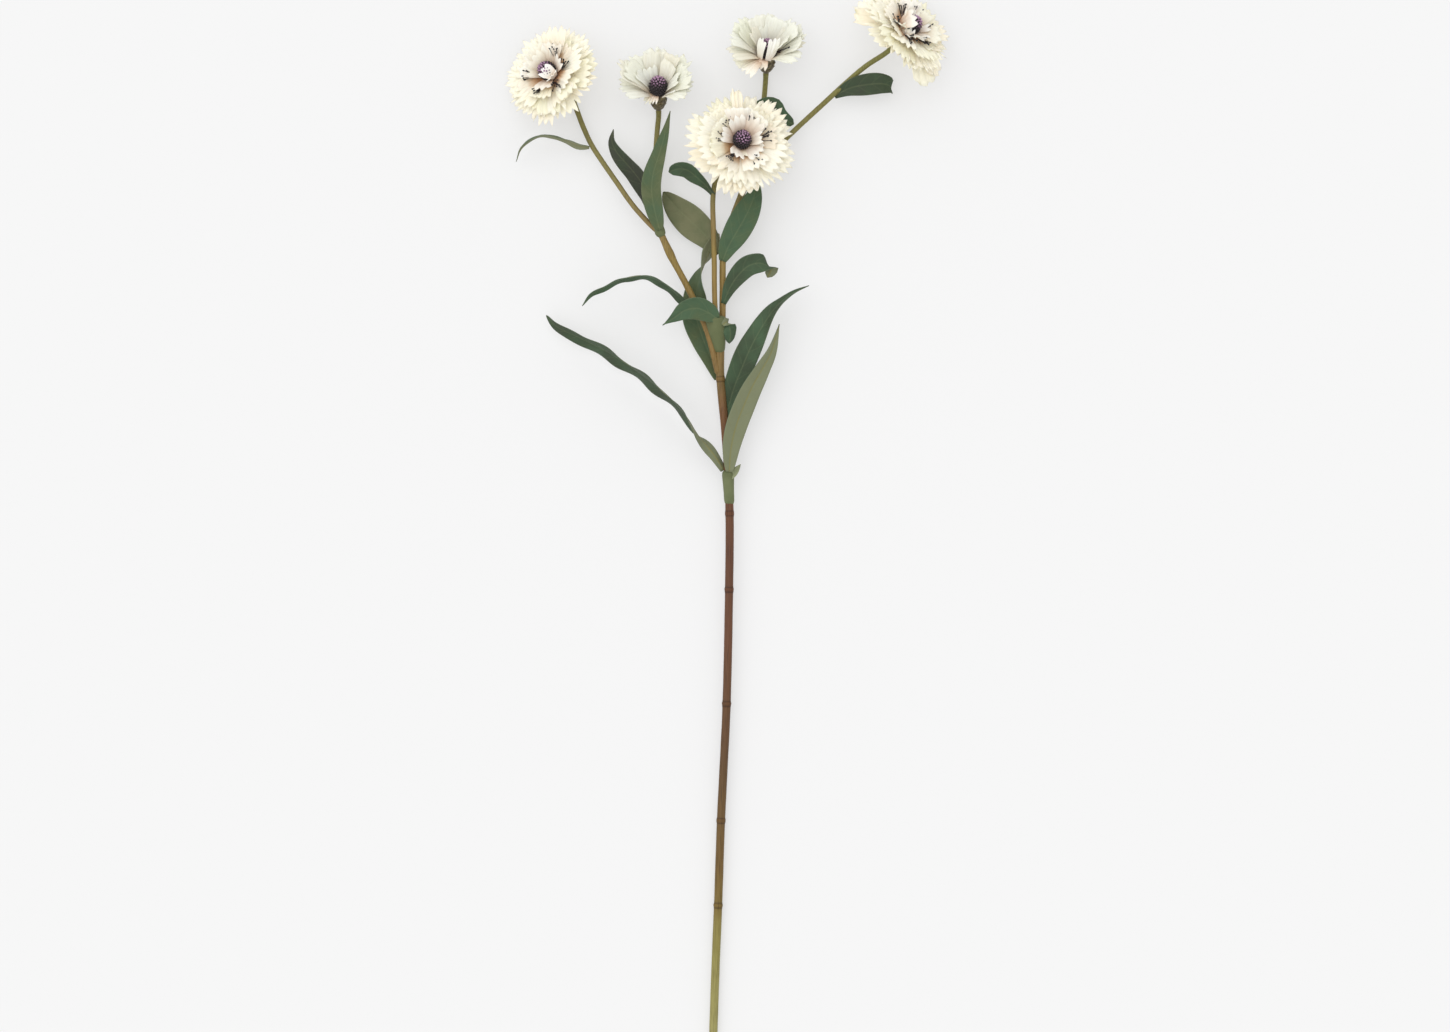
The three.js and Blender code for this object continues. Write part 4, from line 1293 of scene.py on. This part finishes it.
cream_cloth = pressed_polyester(
    "pressed_polyester_cream",
    [(0.0, "#9c8062"), (0.16, "#d3bea2"), (0.34, "#f8efdc"), (0.65, "#fffbea"), (1.0, "#fffae6")],
    "#cfc79b",
)
deep_cloth = pressed_polyester(
    "pressed_polyester_cream_deep_base",
    [(0.0, "#8a6042"), (0.3, "#bd8e68"), (0.46, "#dec1a2"), (0.6, "#fbf2e0"), (1.0, "#fffbec")],
    "#cfc79b",
)
white_cloth = pressed_polyester(
    "pressed_polyester_white",
    [(0.0, "#a58068"), (0.25, "#cdb09c"), (0.5, "#eadaca"), (0.75, "#faf5ea"), (1.0, "#fdfbf4")],
    "#d9d4ba",
)


PETAL_CLOTH = 0.22  # thickness
PETAL_FOOT = 1.8  # half the width of a petal's foot
PETAL_BENDS = 40


def petal(name, reach, width, slopes, teeth, depth, cup, seed):
    """One petal: a soft fan with a ragged toothed end, rising from its foot and curling over.

    Its end has teeth cut to a depth, each with its own length and flick, and cup lifts its sides."""
    chooser = random.Random(seed)
    first, last = [math.radians(a + chooser.uniform(-5, 5)) for a in slopes]
    bends = [first + (last - first) * (i / PETAL_BENDS) ** 0.9 for i in range(PETAL_BENDS + 1)]
    run = sum(math.cos(b) for b in bends) / len(bends)
    length = reach / max(0.35, run)
    notches = [depth * chooser.uniform(0.45, 1.35) for _ in range(teeth + 1)]
    tips = [chooser.uniform(-0.1, 0.035) for _ in range(teeth)]
    flicks = [chooser.uniform(-1.0, 1.0) for _ in range(teeth)]
    skew = chooser.uniform(-0.14, 0.14)
    pleat = chooser.uniform(0.1, 0.3)
    crease = [chooser.uniform(-0.5, 0.5) for _ in range(4)]

    def shape(s, x):
        tooth = min(teeth - 1, int((x + 1) / 2 * teeth))
        within = 2 * ((x + 1) / 2 * teeth - tooth) - 1
        side = abs(within)
        notch = notches[tooth] if within < 0 else notches[tooth + 1]
        cut = notch * side**1.25 / length
        end = (1 + tips[tooth] * (1 - side)) * (1 - 0.12 * x * x - cut)
        along = s * end
        steps = along * PETAL_BENDS
        whole = int(min(PETAL_BENDS, steps))
        slope = bends[whole]
        part = (steps - whole) * length / len(bends)
        east = sum(math.cos(b) for b in bends[:whole]) * length / len(bends) + part * math.cos(slope)
        height = sum(math.sin(b) for b in bends[:whole]) * length / len(bends) + part * math.sin(slope)
        half = PETAL_FOOT + (width / 2 - PETAL_FOOT) * along**0.75
        over = x * half
        fold = sum(c * math.sin((k + 1.3) * math.pi * x + 2 * c) for k, c in enumerate(crease))
        flick = flicks[tooth] * (1 - side) * max(0.0, along - 0.8) * 5
        pleats = pleat * math.cos(math.pi * within)
        lift = (pleats + fold * 0.8) * along**1.3 + cup * x * x * half * along + flick
        point = (
            east - lift * math.sin(slope),
            over + skew * length * along * along,
            height + lift * math.cos(slope),
        )
        return point, (over, along * length), along

    return blade_grid(name, 12, teeth * 6, shape)


def petal_kinds(name, reach, ring):
    """Several cuts of the same petal, so that neighbours differ."""
    cuts = [
        petal(
            f"{name}_{i}", reach, ring["width"], ring["slopes"], ring["teeth"], ring["depth"],
            ring["cup"], ring["seed"] + i,
        )
        for i in range(KINDS_OF_BLADE)
    ]
    return collection_of(name, cuts)


single_cloth = pressed_polyester(
    "pressed_polyester_greyish_white",
    [(0.0, "#9c826e"), (0.2, "#c5b8a6"), (0.4, "#dfdccd"), (0.7, "#e9eade"), (1.0, "#ecede0")],
    "#d3cfb4",
)

# Heights are above the foot of the calyx, and slopes are at the foot and at the tip, in degrees.
# side is where the first petal stands, in degrees from the back of the cup, for part of a ring.
DOUBLE_RINGS = {
    "petals_outer_under": {
        "node": "petals_outer", "cloth": cream_cloth, "count": 10, "step": 36, "side": "all round",
        "foot": 3.6, "height": 14.0, "reach": 36.4, "width": 26, "slopes": (14, -12), "teeth": 5,
        "depth": 8.0, "cup": 0.0, "unruly": 1.0, "seed": 11,
    },
    "petals_outer_over": {
        "node": "petals_outer", "cloth": cream_cloth, "count": 9, "step": 40, "side": "all round",
        "foot": 3.4, "height": 14.7, "reach": 34.2, "width": 25, "slopes": (19, -4), "teeth": 5,
        "depth": 7.0, "cup": 0.02, "unruly": 1.1, "seed": 21,
    },
    "petals_middle_under": {
        "node": "petals_middle", "cloth": cream_cloth, "count": 7, "step": 51.4, "side": "all round",
        "foot": 3.2, "height": 15.4, "reach": 30.2, "width": 26, "slopes": (24, 2), "teeth": 5,
        "depth": 4.6, "cup": 0.02, "unruly": 1.2, "seed": 31,
    },
    "petals_middle_over": {
        "node": "petals_middle", "cloth": deep_cloth, "count": 6, "step": 60, "side": "all round",
        "foot": 3.0, "height": 16.1, "reach": 25.0, "width": 22, "slopes": (30, 10), "teeth": 5,
        "depth": 3.4, "cup": 0.04, "unruly": 1.3, "seed": 41,
    },
    "petals_inner_back": {
        "node": "petals_inner", "cloth": white_cloth, "count": 3, "step": 46, "side": -46,
        "foot": 3.4, "height": 17.0, "reach": 20.5, "width": 19, "slopes": (48, 22), "teeth": 4,
        "depth": 3.0, "cup": 0.05, "unruly": 1.4, "seed": 46,
    },
    "petals_inner_cup": {
        "node": "petals_inner", "cloth": white_cloth, "count": 6, "step": 60, "side": "all round",
        "foot": 3.4, "height": 17.6, "reach": 14.4, "width": 14, "slopes": (56, 30), "teeth": 3,
        "depth": 2.8, "cup": 0.08, "unruly": 2.5, "seed": 51,
    },
}
SINGLE_RINGS = {
    "petals_outer_back_under": {
        "node": "petals_outer", "cloth": single_cloth, "count": 5, "step": 42, "side": -84,
        "foot": 3.6, "height": 13.6, "reach": 26.4, "width": 24, "slopes": (58, 28), "teeth": 5,
        "depth": 3.2, "cup": 0.02, "unruly": 1.0, "seed": 61,
    },
    "petals_outer_left": {
        "node": "petals_outer", "cloth": single_cloth, "count": 2, "step": 30, "side": 86,
        "foot": 3.6, "height": 13.5, "reach": 28.0, "width": 19, "slopes": (50, -8), "teeth": 4,
        "depth": 4.2, "cup": 0.02, "unruly": 0.8, "seed": 65,
    },
    "petals_outer_right": {
        "node": "petals_outer", "cloth": single_cloth, "count": 2, "step": 30, "side": -122,
        "foot": 3.6, "height": 13.7, "reach": 28.0, "width": 18, "slopes": (52, 4), "teeth": 4,
        "depth": 4.0, "cup": 0.03, "unruly": 0.8, "seed": 68,
    },
    "petals_outer_back_over": {
        "node": "petals_outer", "cloth": single_cloth, "count": 4, "step": 46, "side": -70,
        "foot": 3.4, "height": 14.2, "reach": 21.6, "width": 20, "slopes": (64, 38), "teeth": 4,
        "depth": 3.0, "cup": 0.04, "unruly": 1.2, "seed": 71,
    },
    "petals_inner_cup": {
        "node": "petals_inner", "cloth": single_cloth, "count": 4, "step": 60, "side": -100,
        "foot": 3.4, "height": 15.0, "reach": 15.6, "width": 14, "slopes": (68, 42), "teeth": 3,
        "depth": 2.6, "cup": 0.06, "unruly": 1.6, "seed": 81,
    },
}

for rings, double in ((DOUBLE_RINGS, True), (SINGLE_RINGS, False)):
    for ring_name, ring in rings.items():
        cut = ("double_" if double else "single_") + ring_name
        kinds = petal_kinds(cut, ring["reach"] - ring["foot"], ring)
        for number, flower in FLOWERS.items():
            if flower["double"] != double:
                continue
            if ring["side"] == "all round":
                first = 0.7 * int(number) + 0.3 * ring["seed"]
            else:
                first = math.radians(ring["side"] + flower["back"])
            petals = grow(
                f"{ring_name}_{number}",
                ring_tree,
                {
                    "Blades": kinds,
                    "Count": ring["count"],
                    "Foot radius": ring["foot"] * flower["size"] * MM,
                    "Height": ring["height"] * MM,
                    "Lean": 0.0,
                    "Lean spread": 0.11 * ring["unruly"],
                    "First turn": first,
                    "Step": math.radians(ring["step"]),
                    "Turn spread": 0.12 * ring["unruly"],
                    "Roll spread": 0.13 * ring["unruly"],
                    "Size": flower["size"],
                    "Size spread": 0.06 * ring["unruly"],
                    "Seed": ring["seed"] + 7 * int(number),
                    "Material": ring["cloth"],
                },
            )
            set_on_stem(petals, flower)
            thicken(petals, PETAL_CLOTH)
            hand_over(petals, f"{ring['node']}_{number}")

# The folded petals are the same cloth, cut before it was dyed.
undyed_cloth = pressed_polyester(
    "pressed_polyester_undyed",
    [(0.0, "#e6dacd"), (0.3, "#f6f1e9"), (0.6, "#fdfcf8"), (1.0, "#ffffff")],
    "#efece0",
)

# A few inner petals stand up in front of the button, fold in over it or hang down past the calyx,
# each bloom in its own way. turn is where the first stands, by the compass of the bloom, in degrees.
FOLDED_PETALS = {
    "over_button_1": {
        "flower": "1", "count": 1, "turn": -38, "step": 0, "height": 20, "foot": 6.8, "reach": 4.9,
        "width": 13, "slopes": (88, 168), "roll": 0.2, "seed": 101, "cloth": undyed_cloth,
    },
    "hanging_2": {
        "flower": "2", "count": 2, "turn": -132, "step": 26, "height": 15.4, "foot": 4.0, "reach": 7.5,
        "width": 7.5, "slopes": (38, -72), "roll": 0.2, "seed": 111,
    },
    "strip_2": {
        "flower": "2", "count": 1, "turn": -52, "step": 0, "height": 14.6, "foot": 6.0, "reach": 9.0,
        "width": 7, "slopes": (58, 42), "roll": 0.6, "seed": 114, "cloth": undyed_cloth,
    },
    "strips_3": {
        "flower": "3", "count": 2, "turn": -134, "step": 52, "height": 16.0, "foot": 7.0, "reach": 6.8,
        "width": 9.0, "slopes": (82, 112), "roll": 0.7, "seed": 122, "cloth": undyed_cloth,
    },
    "hanging_3": {
        "flower": "3", "count": 1, "turn": -108, "step": 0, "height": 15.2, "foot": 4.0, "reach": 7.6,
        "width": 10, "slopes": (30, -84), "roll": 0.1, "seed": 125,
    },
    "drooping_3": {
        "flower": "3", "count": 2, "turn": 204, "step": 24, "height": 14.0, "foot": 3.8, "reach": 21.0,
        "width": 14, "slopes": (22, -40), "roll": 0.15, "seed": 128,
    },
    "over_button_4": {
        "flower": "4", "count": 1, "turn": 184, "step": 0, "height": 18, "foot": 7.2, "reach": 6.2,
        "width": 20, "slopes": (74, 150), "roll": 0.15, "seed": 132,
    },
    "rolled_4": {
        "flower": "4", "count": 2, "turn": -150, "step": 44, "height": 17.5, "foot": 7.6, "reach": 3.4,
        "width": 10, "slopes": (74, 130), "roll": 0.3, "seed": 131, "cloth": undyed_cloth,
    },
    "drooping_left_4": {
        "flower": "4", "count": 2, "turn": 132, "step": 30, "height": 13.8, "foot": 3.8, "reach": 35.0,
        "width": 24, "slopes": (8, -34), "roll": 0.1, "seed": 134, "cloth": cream_cloth,
    },
    "drooping_right_4": {
        "flower": "4", "count": 2, "turn": -72, "step": 26, "height": 13.8, "foot": 3.8, "reach": 36.0,
        "width": 24, "slopes": (8, -34), "roll": 0.1, "seed": 137, "cloth": cream_cloth,
    },
    "stray_5": {
        "flower": "5", "count": 1, "turn": 100, "step": 0, "height": 16.0, "foot": 3.8, "reach": 34.0,
        "width": 9, "slopes": (26, 6), "roll": 0.1, "seed": 145, "cloth": cream_cloth,
    },
    "front_5": {
        "flower": "5", "count": 2, "turn": -72, "step": 34, "height": 18.6, "foot": 5.0, "reach": 9.5,
        "width": 12, "slopes": (40, 8), "roll": 0.2, "seed": 141,
    },
}
FOLDED_END = {"teeth": 3, "depth": 3.2, "cup": 0.05}

for name, folded in FOLDED_PETALS.items():
    flower = FLOWERS[folded["flower"]]
    petals = grow(
        f"petals_inner_{name}",
        ring_tree,
        {
            "Blades": petal_kinds(f"folded_petal_{name}", folded["reach"], {**folded, **FOLDED_END}),
            "Count": folded["count"],
            "Foot radius": folded["foot"] * MM,
            "Height": folded["height"] * MM,
            "Lean": 0.0,
            "Lean spread": 0.08,
            "First turn": math.radians(folded["turn"]),
            "Step": math.radians(folded["step"]),
            "Turn spread": 0.06,
            "Roll spread": folded["roll"],
            "Size": flower["size"],
            "Size spread": 0.08,
            "Seed": folded["seed"],
            "Material": folded.get("cloth", white_cloth),
        },
    )
    set_on_stem(petals, flower)
    thicken(petals, PETAL_CLOTH)
    if folded.get("cloth") == cream_cloth:
        hand_over(petals, f"petals_outer_{folded['flower']}")
    else:
        hand_over(petals, f"petals_inner_{folded['flower']}")

# ---------- stamens ----------
# Between the cup and the petals of a double bloom stand six tufts of stiff nylon thread, dyed black
# and dipped so that each ends in a bead.
dyed_nylon, tree, shader = start_material("dyed_nylon_thread")
where = add_node(tree, "ShaderNodeTexCoord")
reach = add_node(tree, "ShaderNodeAttribute", attribute_name="reach")
lumps = add_node(tree, "ShaderNodeTexNoise", {"Vector": where.outputs["Object"], "Scale": 900.0})
faded = add_node(
    tree, "ShaderNodeMath", {0: lumps, 1: 0.3, 2: reach.outputs["Fac"]}, operation="MULTIPLY_ADD"
)
black = add_node(
    tree,
    "ShaderNodeValToRGB",
    {"Fac": faded},
    stops=[(0.0, "#6b5a52"), (0.5, "#3b3236"), (0.85, "#201a1e"), (1.0, "#1a1518")],
)
feed(shader, {"Base Color": black, "Roughness": 0.45, "IOR": 1.53})

# How far along a thread, and its radius there. The bead is the wide place near the end.
THREAD_PROFILE = [(0, 0.25), (0.3, 0.25), (0.6, 0.25), (0.86, 0.25), (0.94, 0.65), (1, 0.12)]
THREAD_SIDES = 5
TUFT_LENGTH = 10.5


def tuft(name, threads, length, seed):
    """Threads that fan out from one foot towards +X, each a little bowed, with a bead."""
    chooser = random.Random(seed)
    points, faces, reach = [], [], []
    for _ in range(threads):
        sideways = chooser.uniform(-0.42, 0.42)
        upwards = chooser.uniform(-0.3, 0.3)
        reach_out = length * chooser.uniform(0.75, 1.1)
        bow = chooser.uniform(-0.8, 0.8)
        base = len(points)
        for t, radius in THREAD_PROFILE:
            bowed = bow * t * (1 - t)
            centre = Vector(
                (t * reach_out, t * reach_out * sideways + bowed, t * reach_out * upwards + bowed)
            )
            for q in range(THREAD_SIDES):
                a = 2 * math.pi * q / THREAD_SIDES
                points.append((centre + Vector((0, math.cos(a), math.sin(a))) * radius) * MM)
                reach.append(t)
        last = base + (len(THREAD_PROFILE) - 1) * THREAD_SIDES
        for ring in range(base, last, THREAD_SIDES):
            for q in range(THREAD_SIDES):
                a, b = ring + q, ring + (q + 1) % THREAD_SIDES
                faces.append((a, b, b + THREAD_SIDES, a + THREAD_SIDES))
        faces.append(tuple(range(base + THREAD_SIDES - 1, base - 1, -1)))
        faces.append(tuple(range(last, last + THREAD_SIDES)))
    mesh = smooth_mesh(name, points, faces)
    mark_points(mesh, reach=reach)
    return mesh


tufts = collection_of(
    "tufts", [tuft(f"tuft_{i}", 8 + i % 3, TUFT_LENGTH, 90 + i) for i in range(KINDS_OF_BLADE)]
)
for number, flower in FLOWERS.items():
    if not flower["double"]:
        continue
    stamens = grow(
        f"stamens_{number}_tufts",
        ring_tree,
        {
            "Blades": tufts,
            "Count": 6,
            "Foot radius": 9.0 * flower["size"] * MM,
            "Height": 19.0 * MM,
            "Lean": math.radians(42),
            "Lean spread": 0.1,
            "First turn": 0.05,
            "Step": math.pi / 3,
            "Turn spread": 0.16,
            "Roll spread": 0.6,
            "Size": flower["size"],
            "Size spread": 0.08,
            "Seed": 90 + int(number),
            "Material": dyed_nylon,
        },
    )
    set_on_stem(stamens, flower)
    hand_over(stamens, f"stamens_{number}")

# The single blooms have only a stray tuft or two, stuck between petals at these turns.
STRAY_TUFTS = {
    "left_of_2": {"flower": "2", "turn": 208, "foot": 9.5, "height": 17.0, "lean": 14, "size": 0.55},
    "left_of_3": {"flower": "3", "turn": 151, "foot": 10.5, "height": 18.6, "lean": 30, "size": 0.5},
    "right_of_3": {"flower": "3", "turn": -18, "foot": 6.2, "height": 20.0, "lean": 20, "size": 1.3},
}
for name, stray in STRAY_TUFTS.items():
    flower = FLOWERS[stray["flower"]]
    stamens = grow(
        f"stray_tuft_{name}",
        ring_tree,
        {
            "Blades": tufts,
            "Count": 1,
            "Foot radius": stray["foot"] * MM,
            "Height": stray["height"] * MM,
            "Lean": math.radians(stray["lean"]),
            "Lean spread": 0.0,
            "First turn": math.radians(stray["turn"]),
            "Step": 0.0,
            "Turn spread": 0.0,
            "Roll spread": 0.6,
            "Size": stray["size"],
            "Size spread": 0.0,
            "Seed": 97,
            "Material": dyed_nylon,
        },
    )
    set_on_stem(stamens, flower)
    hand_over(stamens, f"button_{stray['flower']}")

# ---------- buttons ----------
# The middle of each bloom is an egg of foam, covered in a tight spiral of flocked florets. They are
# mauve on top and nearly black down the side, partly their own dark colour and partly painted shade.
CORE_RADIUS = 5.3
CORE_RISE = 6.8  # from the middle of the egg to its top
CORE_MIDDLE = 4.4  # the height of its middle above its floor
DOUBLE_FLOOR = 18.4  # floors are heights above the foot of the calyx
SINGLE_FLOOR = 16.1
CORE_STEPS = 11
FLORET_COUNT = 150
FLORET_TOP = 1.45
FLORETS_DOWN = 128  # how far down the side the florets go, in degrees from the top
GOLDEN_TURN = math.pi * (3 - math.sqrt(5))

flocked_foam, tree, shader = start_material("flocked_foam_button")
where = add_node(tree, "ShaderNodeTexCoord")
crown = add_node(tree, "ShaderNodeAttribute", attribute_name="crown")
reach = add_node(tree, "ShaderNodeAttribute", attribute_name="reach")
dust = add_node(
    tree, "ShaderNodeTexNoise", {"Vector": where.outputs["Object"], "Scale": 420.0, "Detail": 4.0}
)
# How high a floret sits on the egg lightens it to mauve, so the side is darkened partly as painted shade.
dust_and_painted_shade = add_node(
    tree, "ShaderNodeMath", {0: dust, 1: 0.4, 2: crown.outputs["Fac"]}, operation="MULTIPLY_ADD"
)
mauve = add_node(
    tree,
    "ShaderNodeValToRGB",
    {"Fac": dust_and_painted_shade},
    stops=[(0.4, "#342c2e"), (0.66, "#4c3d45"), (0.83, "#876580"), (1.0, "#c49ebc")],
)
# Each floret is darkened towards its foot as painted shade between the florets.
floret_foot_painted_shade = add_node(
    tree,
    "ShaderNodeValToRGB",
    {"Fac": reach.outputs["Fac"]},
    stops=[(0.0, "#8d8388"), (0.7, "#e8e2e6"), (1.0, "#ffffff")],
)
florets_with_painted_shade = add_node(
    tree,
    "ShaderNodeMix",
    {"Factor": 1.0, "A": mauve, "B": floret_foot_painted_shade},
    data_type="RGBA",
    blend_type="MULTIPLY",
)
bump = add_node(tree, "ShaderNodeBump", {"Height": dust, "Strength": 0.4, "Distance": 0.0002})
feed(
    shader,
    {
        "Base Color": florets_with_painted_shade,
        "Roughness": 0.85,
        "Normal": bump,
        "Sheen Weight": 0.3,
        "Sheen Roughness": 0.35,
    },
)

# The tree sets florets in a spiral over an egg, each a golden turn on from the last.
button_tree, sizes = start_tree(
    "spiral_of_florets",
    {
        "Floret": "Object", "Count": "Int", "Radius": "Float", "Rise": "Float", "Floor": "Float",
        "Reach down": "Float", "Size": "Float", "Size spread": "Float", "Seed": "Int",
        "Material": "Material",
    },
)
number_in_spiral = add_node(button_tree, "GeometryNodeInputIndex")
spiral_share = add_node(
    button_tree, "ShaderNodeMath", {0: number_in_spiral, 1: sizes.outputs["Count"]}, operation="DIVIDE"
)
root_share = add_node(button_tree, "ShaderNodeMath", {0: spiral_share}, operation="SQRT")
from_top = add_node(
    button_tree, "ShaderNodeMath", {0: root_share, 1: sizes.outputs["Reach down"]}, operation="MULTIPLY"
)
spiral_turn = add_node(
    button_tree, "ShaderNodeMath", {0: number_in_spiral, 1: GOLDEN_TURN}, operation="MULTIPLY"
)
flat_share = add_node(button_tree, "ShaderNodeMath", {0: from_top}, operation="SINE")
high_share = add_node(button_tree, "ShaderNodeMath", {0: from_top}, operation="COSINE")
spiral_east = add_node(button_tree, "ShaderNodeMath", {0: spiral_turn}, operation="COSINE")
spiral_north = add_node(button_tree, "ShaderNodeMath", {0: spiral_turn}, operation="SINE")
on_ball_x = add_node(button_tree, "ShaderNodeMath", {0: flat_share, 1: spiral_east}, operation="MULTIPLY")
on_ball_y = add_node(
    button_tree, "ShaderNodeMath", {0: flat_share, 1: spiral_north}, operation="MULTIPLY"
)
on_ball = add_node(button_tree, "ShaderNodeCombineXYZ", {"X": on_ball_x, "Y": on_ball_y, "Z": high_share})
egg = add_node(
    button_tree,
    "ShaderNodeCombineXYZ",
    {"X": sizes.outputs["Radius"], "Y": sizes.outputs["Radius"], "Z": sizes.outputs["Rise"]},
)
on_egg = add_node(button_tree, "ShaderNodeVectorMath", {0: on_ball, 1: egg}, operation="MULTIPLY")
egg_floor = add_node(button_tree, "ShaderNodeCombineXYZ", {"Z": sizes.outputs["Floor"]})
floret_spot = add_node(button_tree, "ShaderNodeVectorMath", {0: on_egg, 1: egg_floor})
floret_feet = add_node(
    button_tree, "GeometryNodePoints", {"Count": sizes.outputs["Count"], "Position": floret_spot}
)
floret_faces = add_node(button_tree, "FunctionNodeAlignRotationToVector", {"Vector": on_ball}, axis="Z")
floret_kind = add_node(button_tree, "GeometryNodeObjectInfo", {"Object": sizes.outputs["Floret"]})
jitter = add_node(
    button_tree,
    "FunctionNodeRandomValue",
    {"Min": -1.0, "Max": 1.0, "Seed": sizes.outputs["Seed"]},
    data_type="FLOAT",
)
floret_size = add_node(
    button_tree,
    "ShaderNodeMath",
    {0: jitter, 1: sizes.outputs["Size spread"], 2: sizes.outputs["Size"]},
    operation="MULTIPLY_ADD",
)
florets = add_node(
    button_tree,
    "GeometryNodeInstanceOnPoints",
    {
        "Points": floret_feet,
        "Instance": floret_kind.outputs["Geometry"],
        "Rotation": floret_faces,
        "Scale": floret_size,
    },
)
crowned = add_node(
    button_tree,
    "GeometryNodeStoreNamedAttribute",
    {"Geometry": florets, "Name": "crown", "Value": high_share},
    data_type="FLOAT",
    domain="INSTANCE",
)
end_tree(button_tree, sizes, crowned)

FLORET_PROFILE = [(-0.8, 0.45), (0.1, 0.72), (0.7, 0.62), (1.2, 0.3), (FLORET_TOP, 0.08)]
floret_mesh = turned_mesh("floret", FLORET_PROFILE, 6)
floret_heights = [v.co.z / (FLORET_TOP * MM) for v in floret_mesh.vertices]
mark_points(floret_mesh, reach=[max(0.0, min(1.0, h)) for h in floret_heights])
floret = bpy.data.objects.new("floret", floret_mesh)

for number, flower in FLOWERS.items():
    floor = DOUBLE_FLOOR if flower["double"] else SINGLE_FLOOR
    middle = floor + CORE_MIDDLE
    profile = [(floor - 2.5, 3.2), (floor, 4.0)]
    for i in range(1, CORE_STEPS + 1):
        a = math.radians(-60 + 150 * i / CORE_STEPS)
        profile.append((middle + CORE_RISE * math.sin(a), max(0.05, CORE_RADIUS * math.cos(a))))
    core_mesh = turned_mesh("core", profile, 20)
    foam = len(core_mesh.vertices)
    # The foam core gets no crown and a low reach, so it shows between the florets as painted shade.
    mark_points(core_mesh, crown=[0.0] * foam, reach=[0.1] * foam)
    core_mesh.materials.append(flocked_foam)
    core = set_on_stem(add_object(f"button_{number}_core", core_mesh), flower)
    hand_over(core, f"button_{number}")
    spiral = grow(
        f"button_{number}_florets",
        button_tree,
        {
            "Floret": floret,
            "Count": FLORET_COUNT,
            "Radius": CORE_RADIUS * MM,
            "Rise": CORE_RISE * MM,
            "Floor": middle * MM,
            "Reach down": math.radians(FLORETS_DOWN),
            "Size": 0.95,
            "Size spread": 0.14,
            "Seed": 7 * int(number),
            "Material": flocked_foam,
        },
    )
    set_on_stem(spiral, flower)
    hand_over(spiral, f"button_{number}")
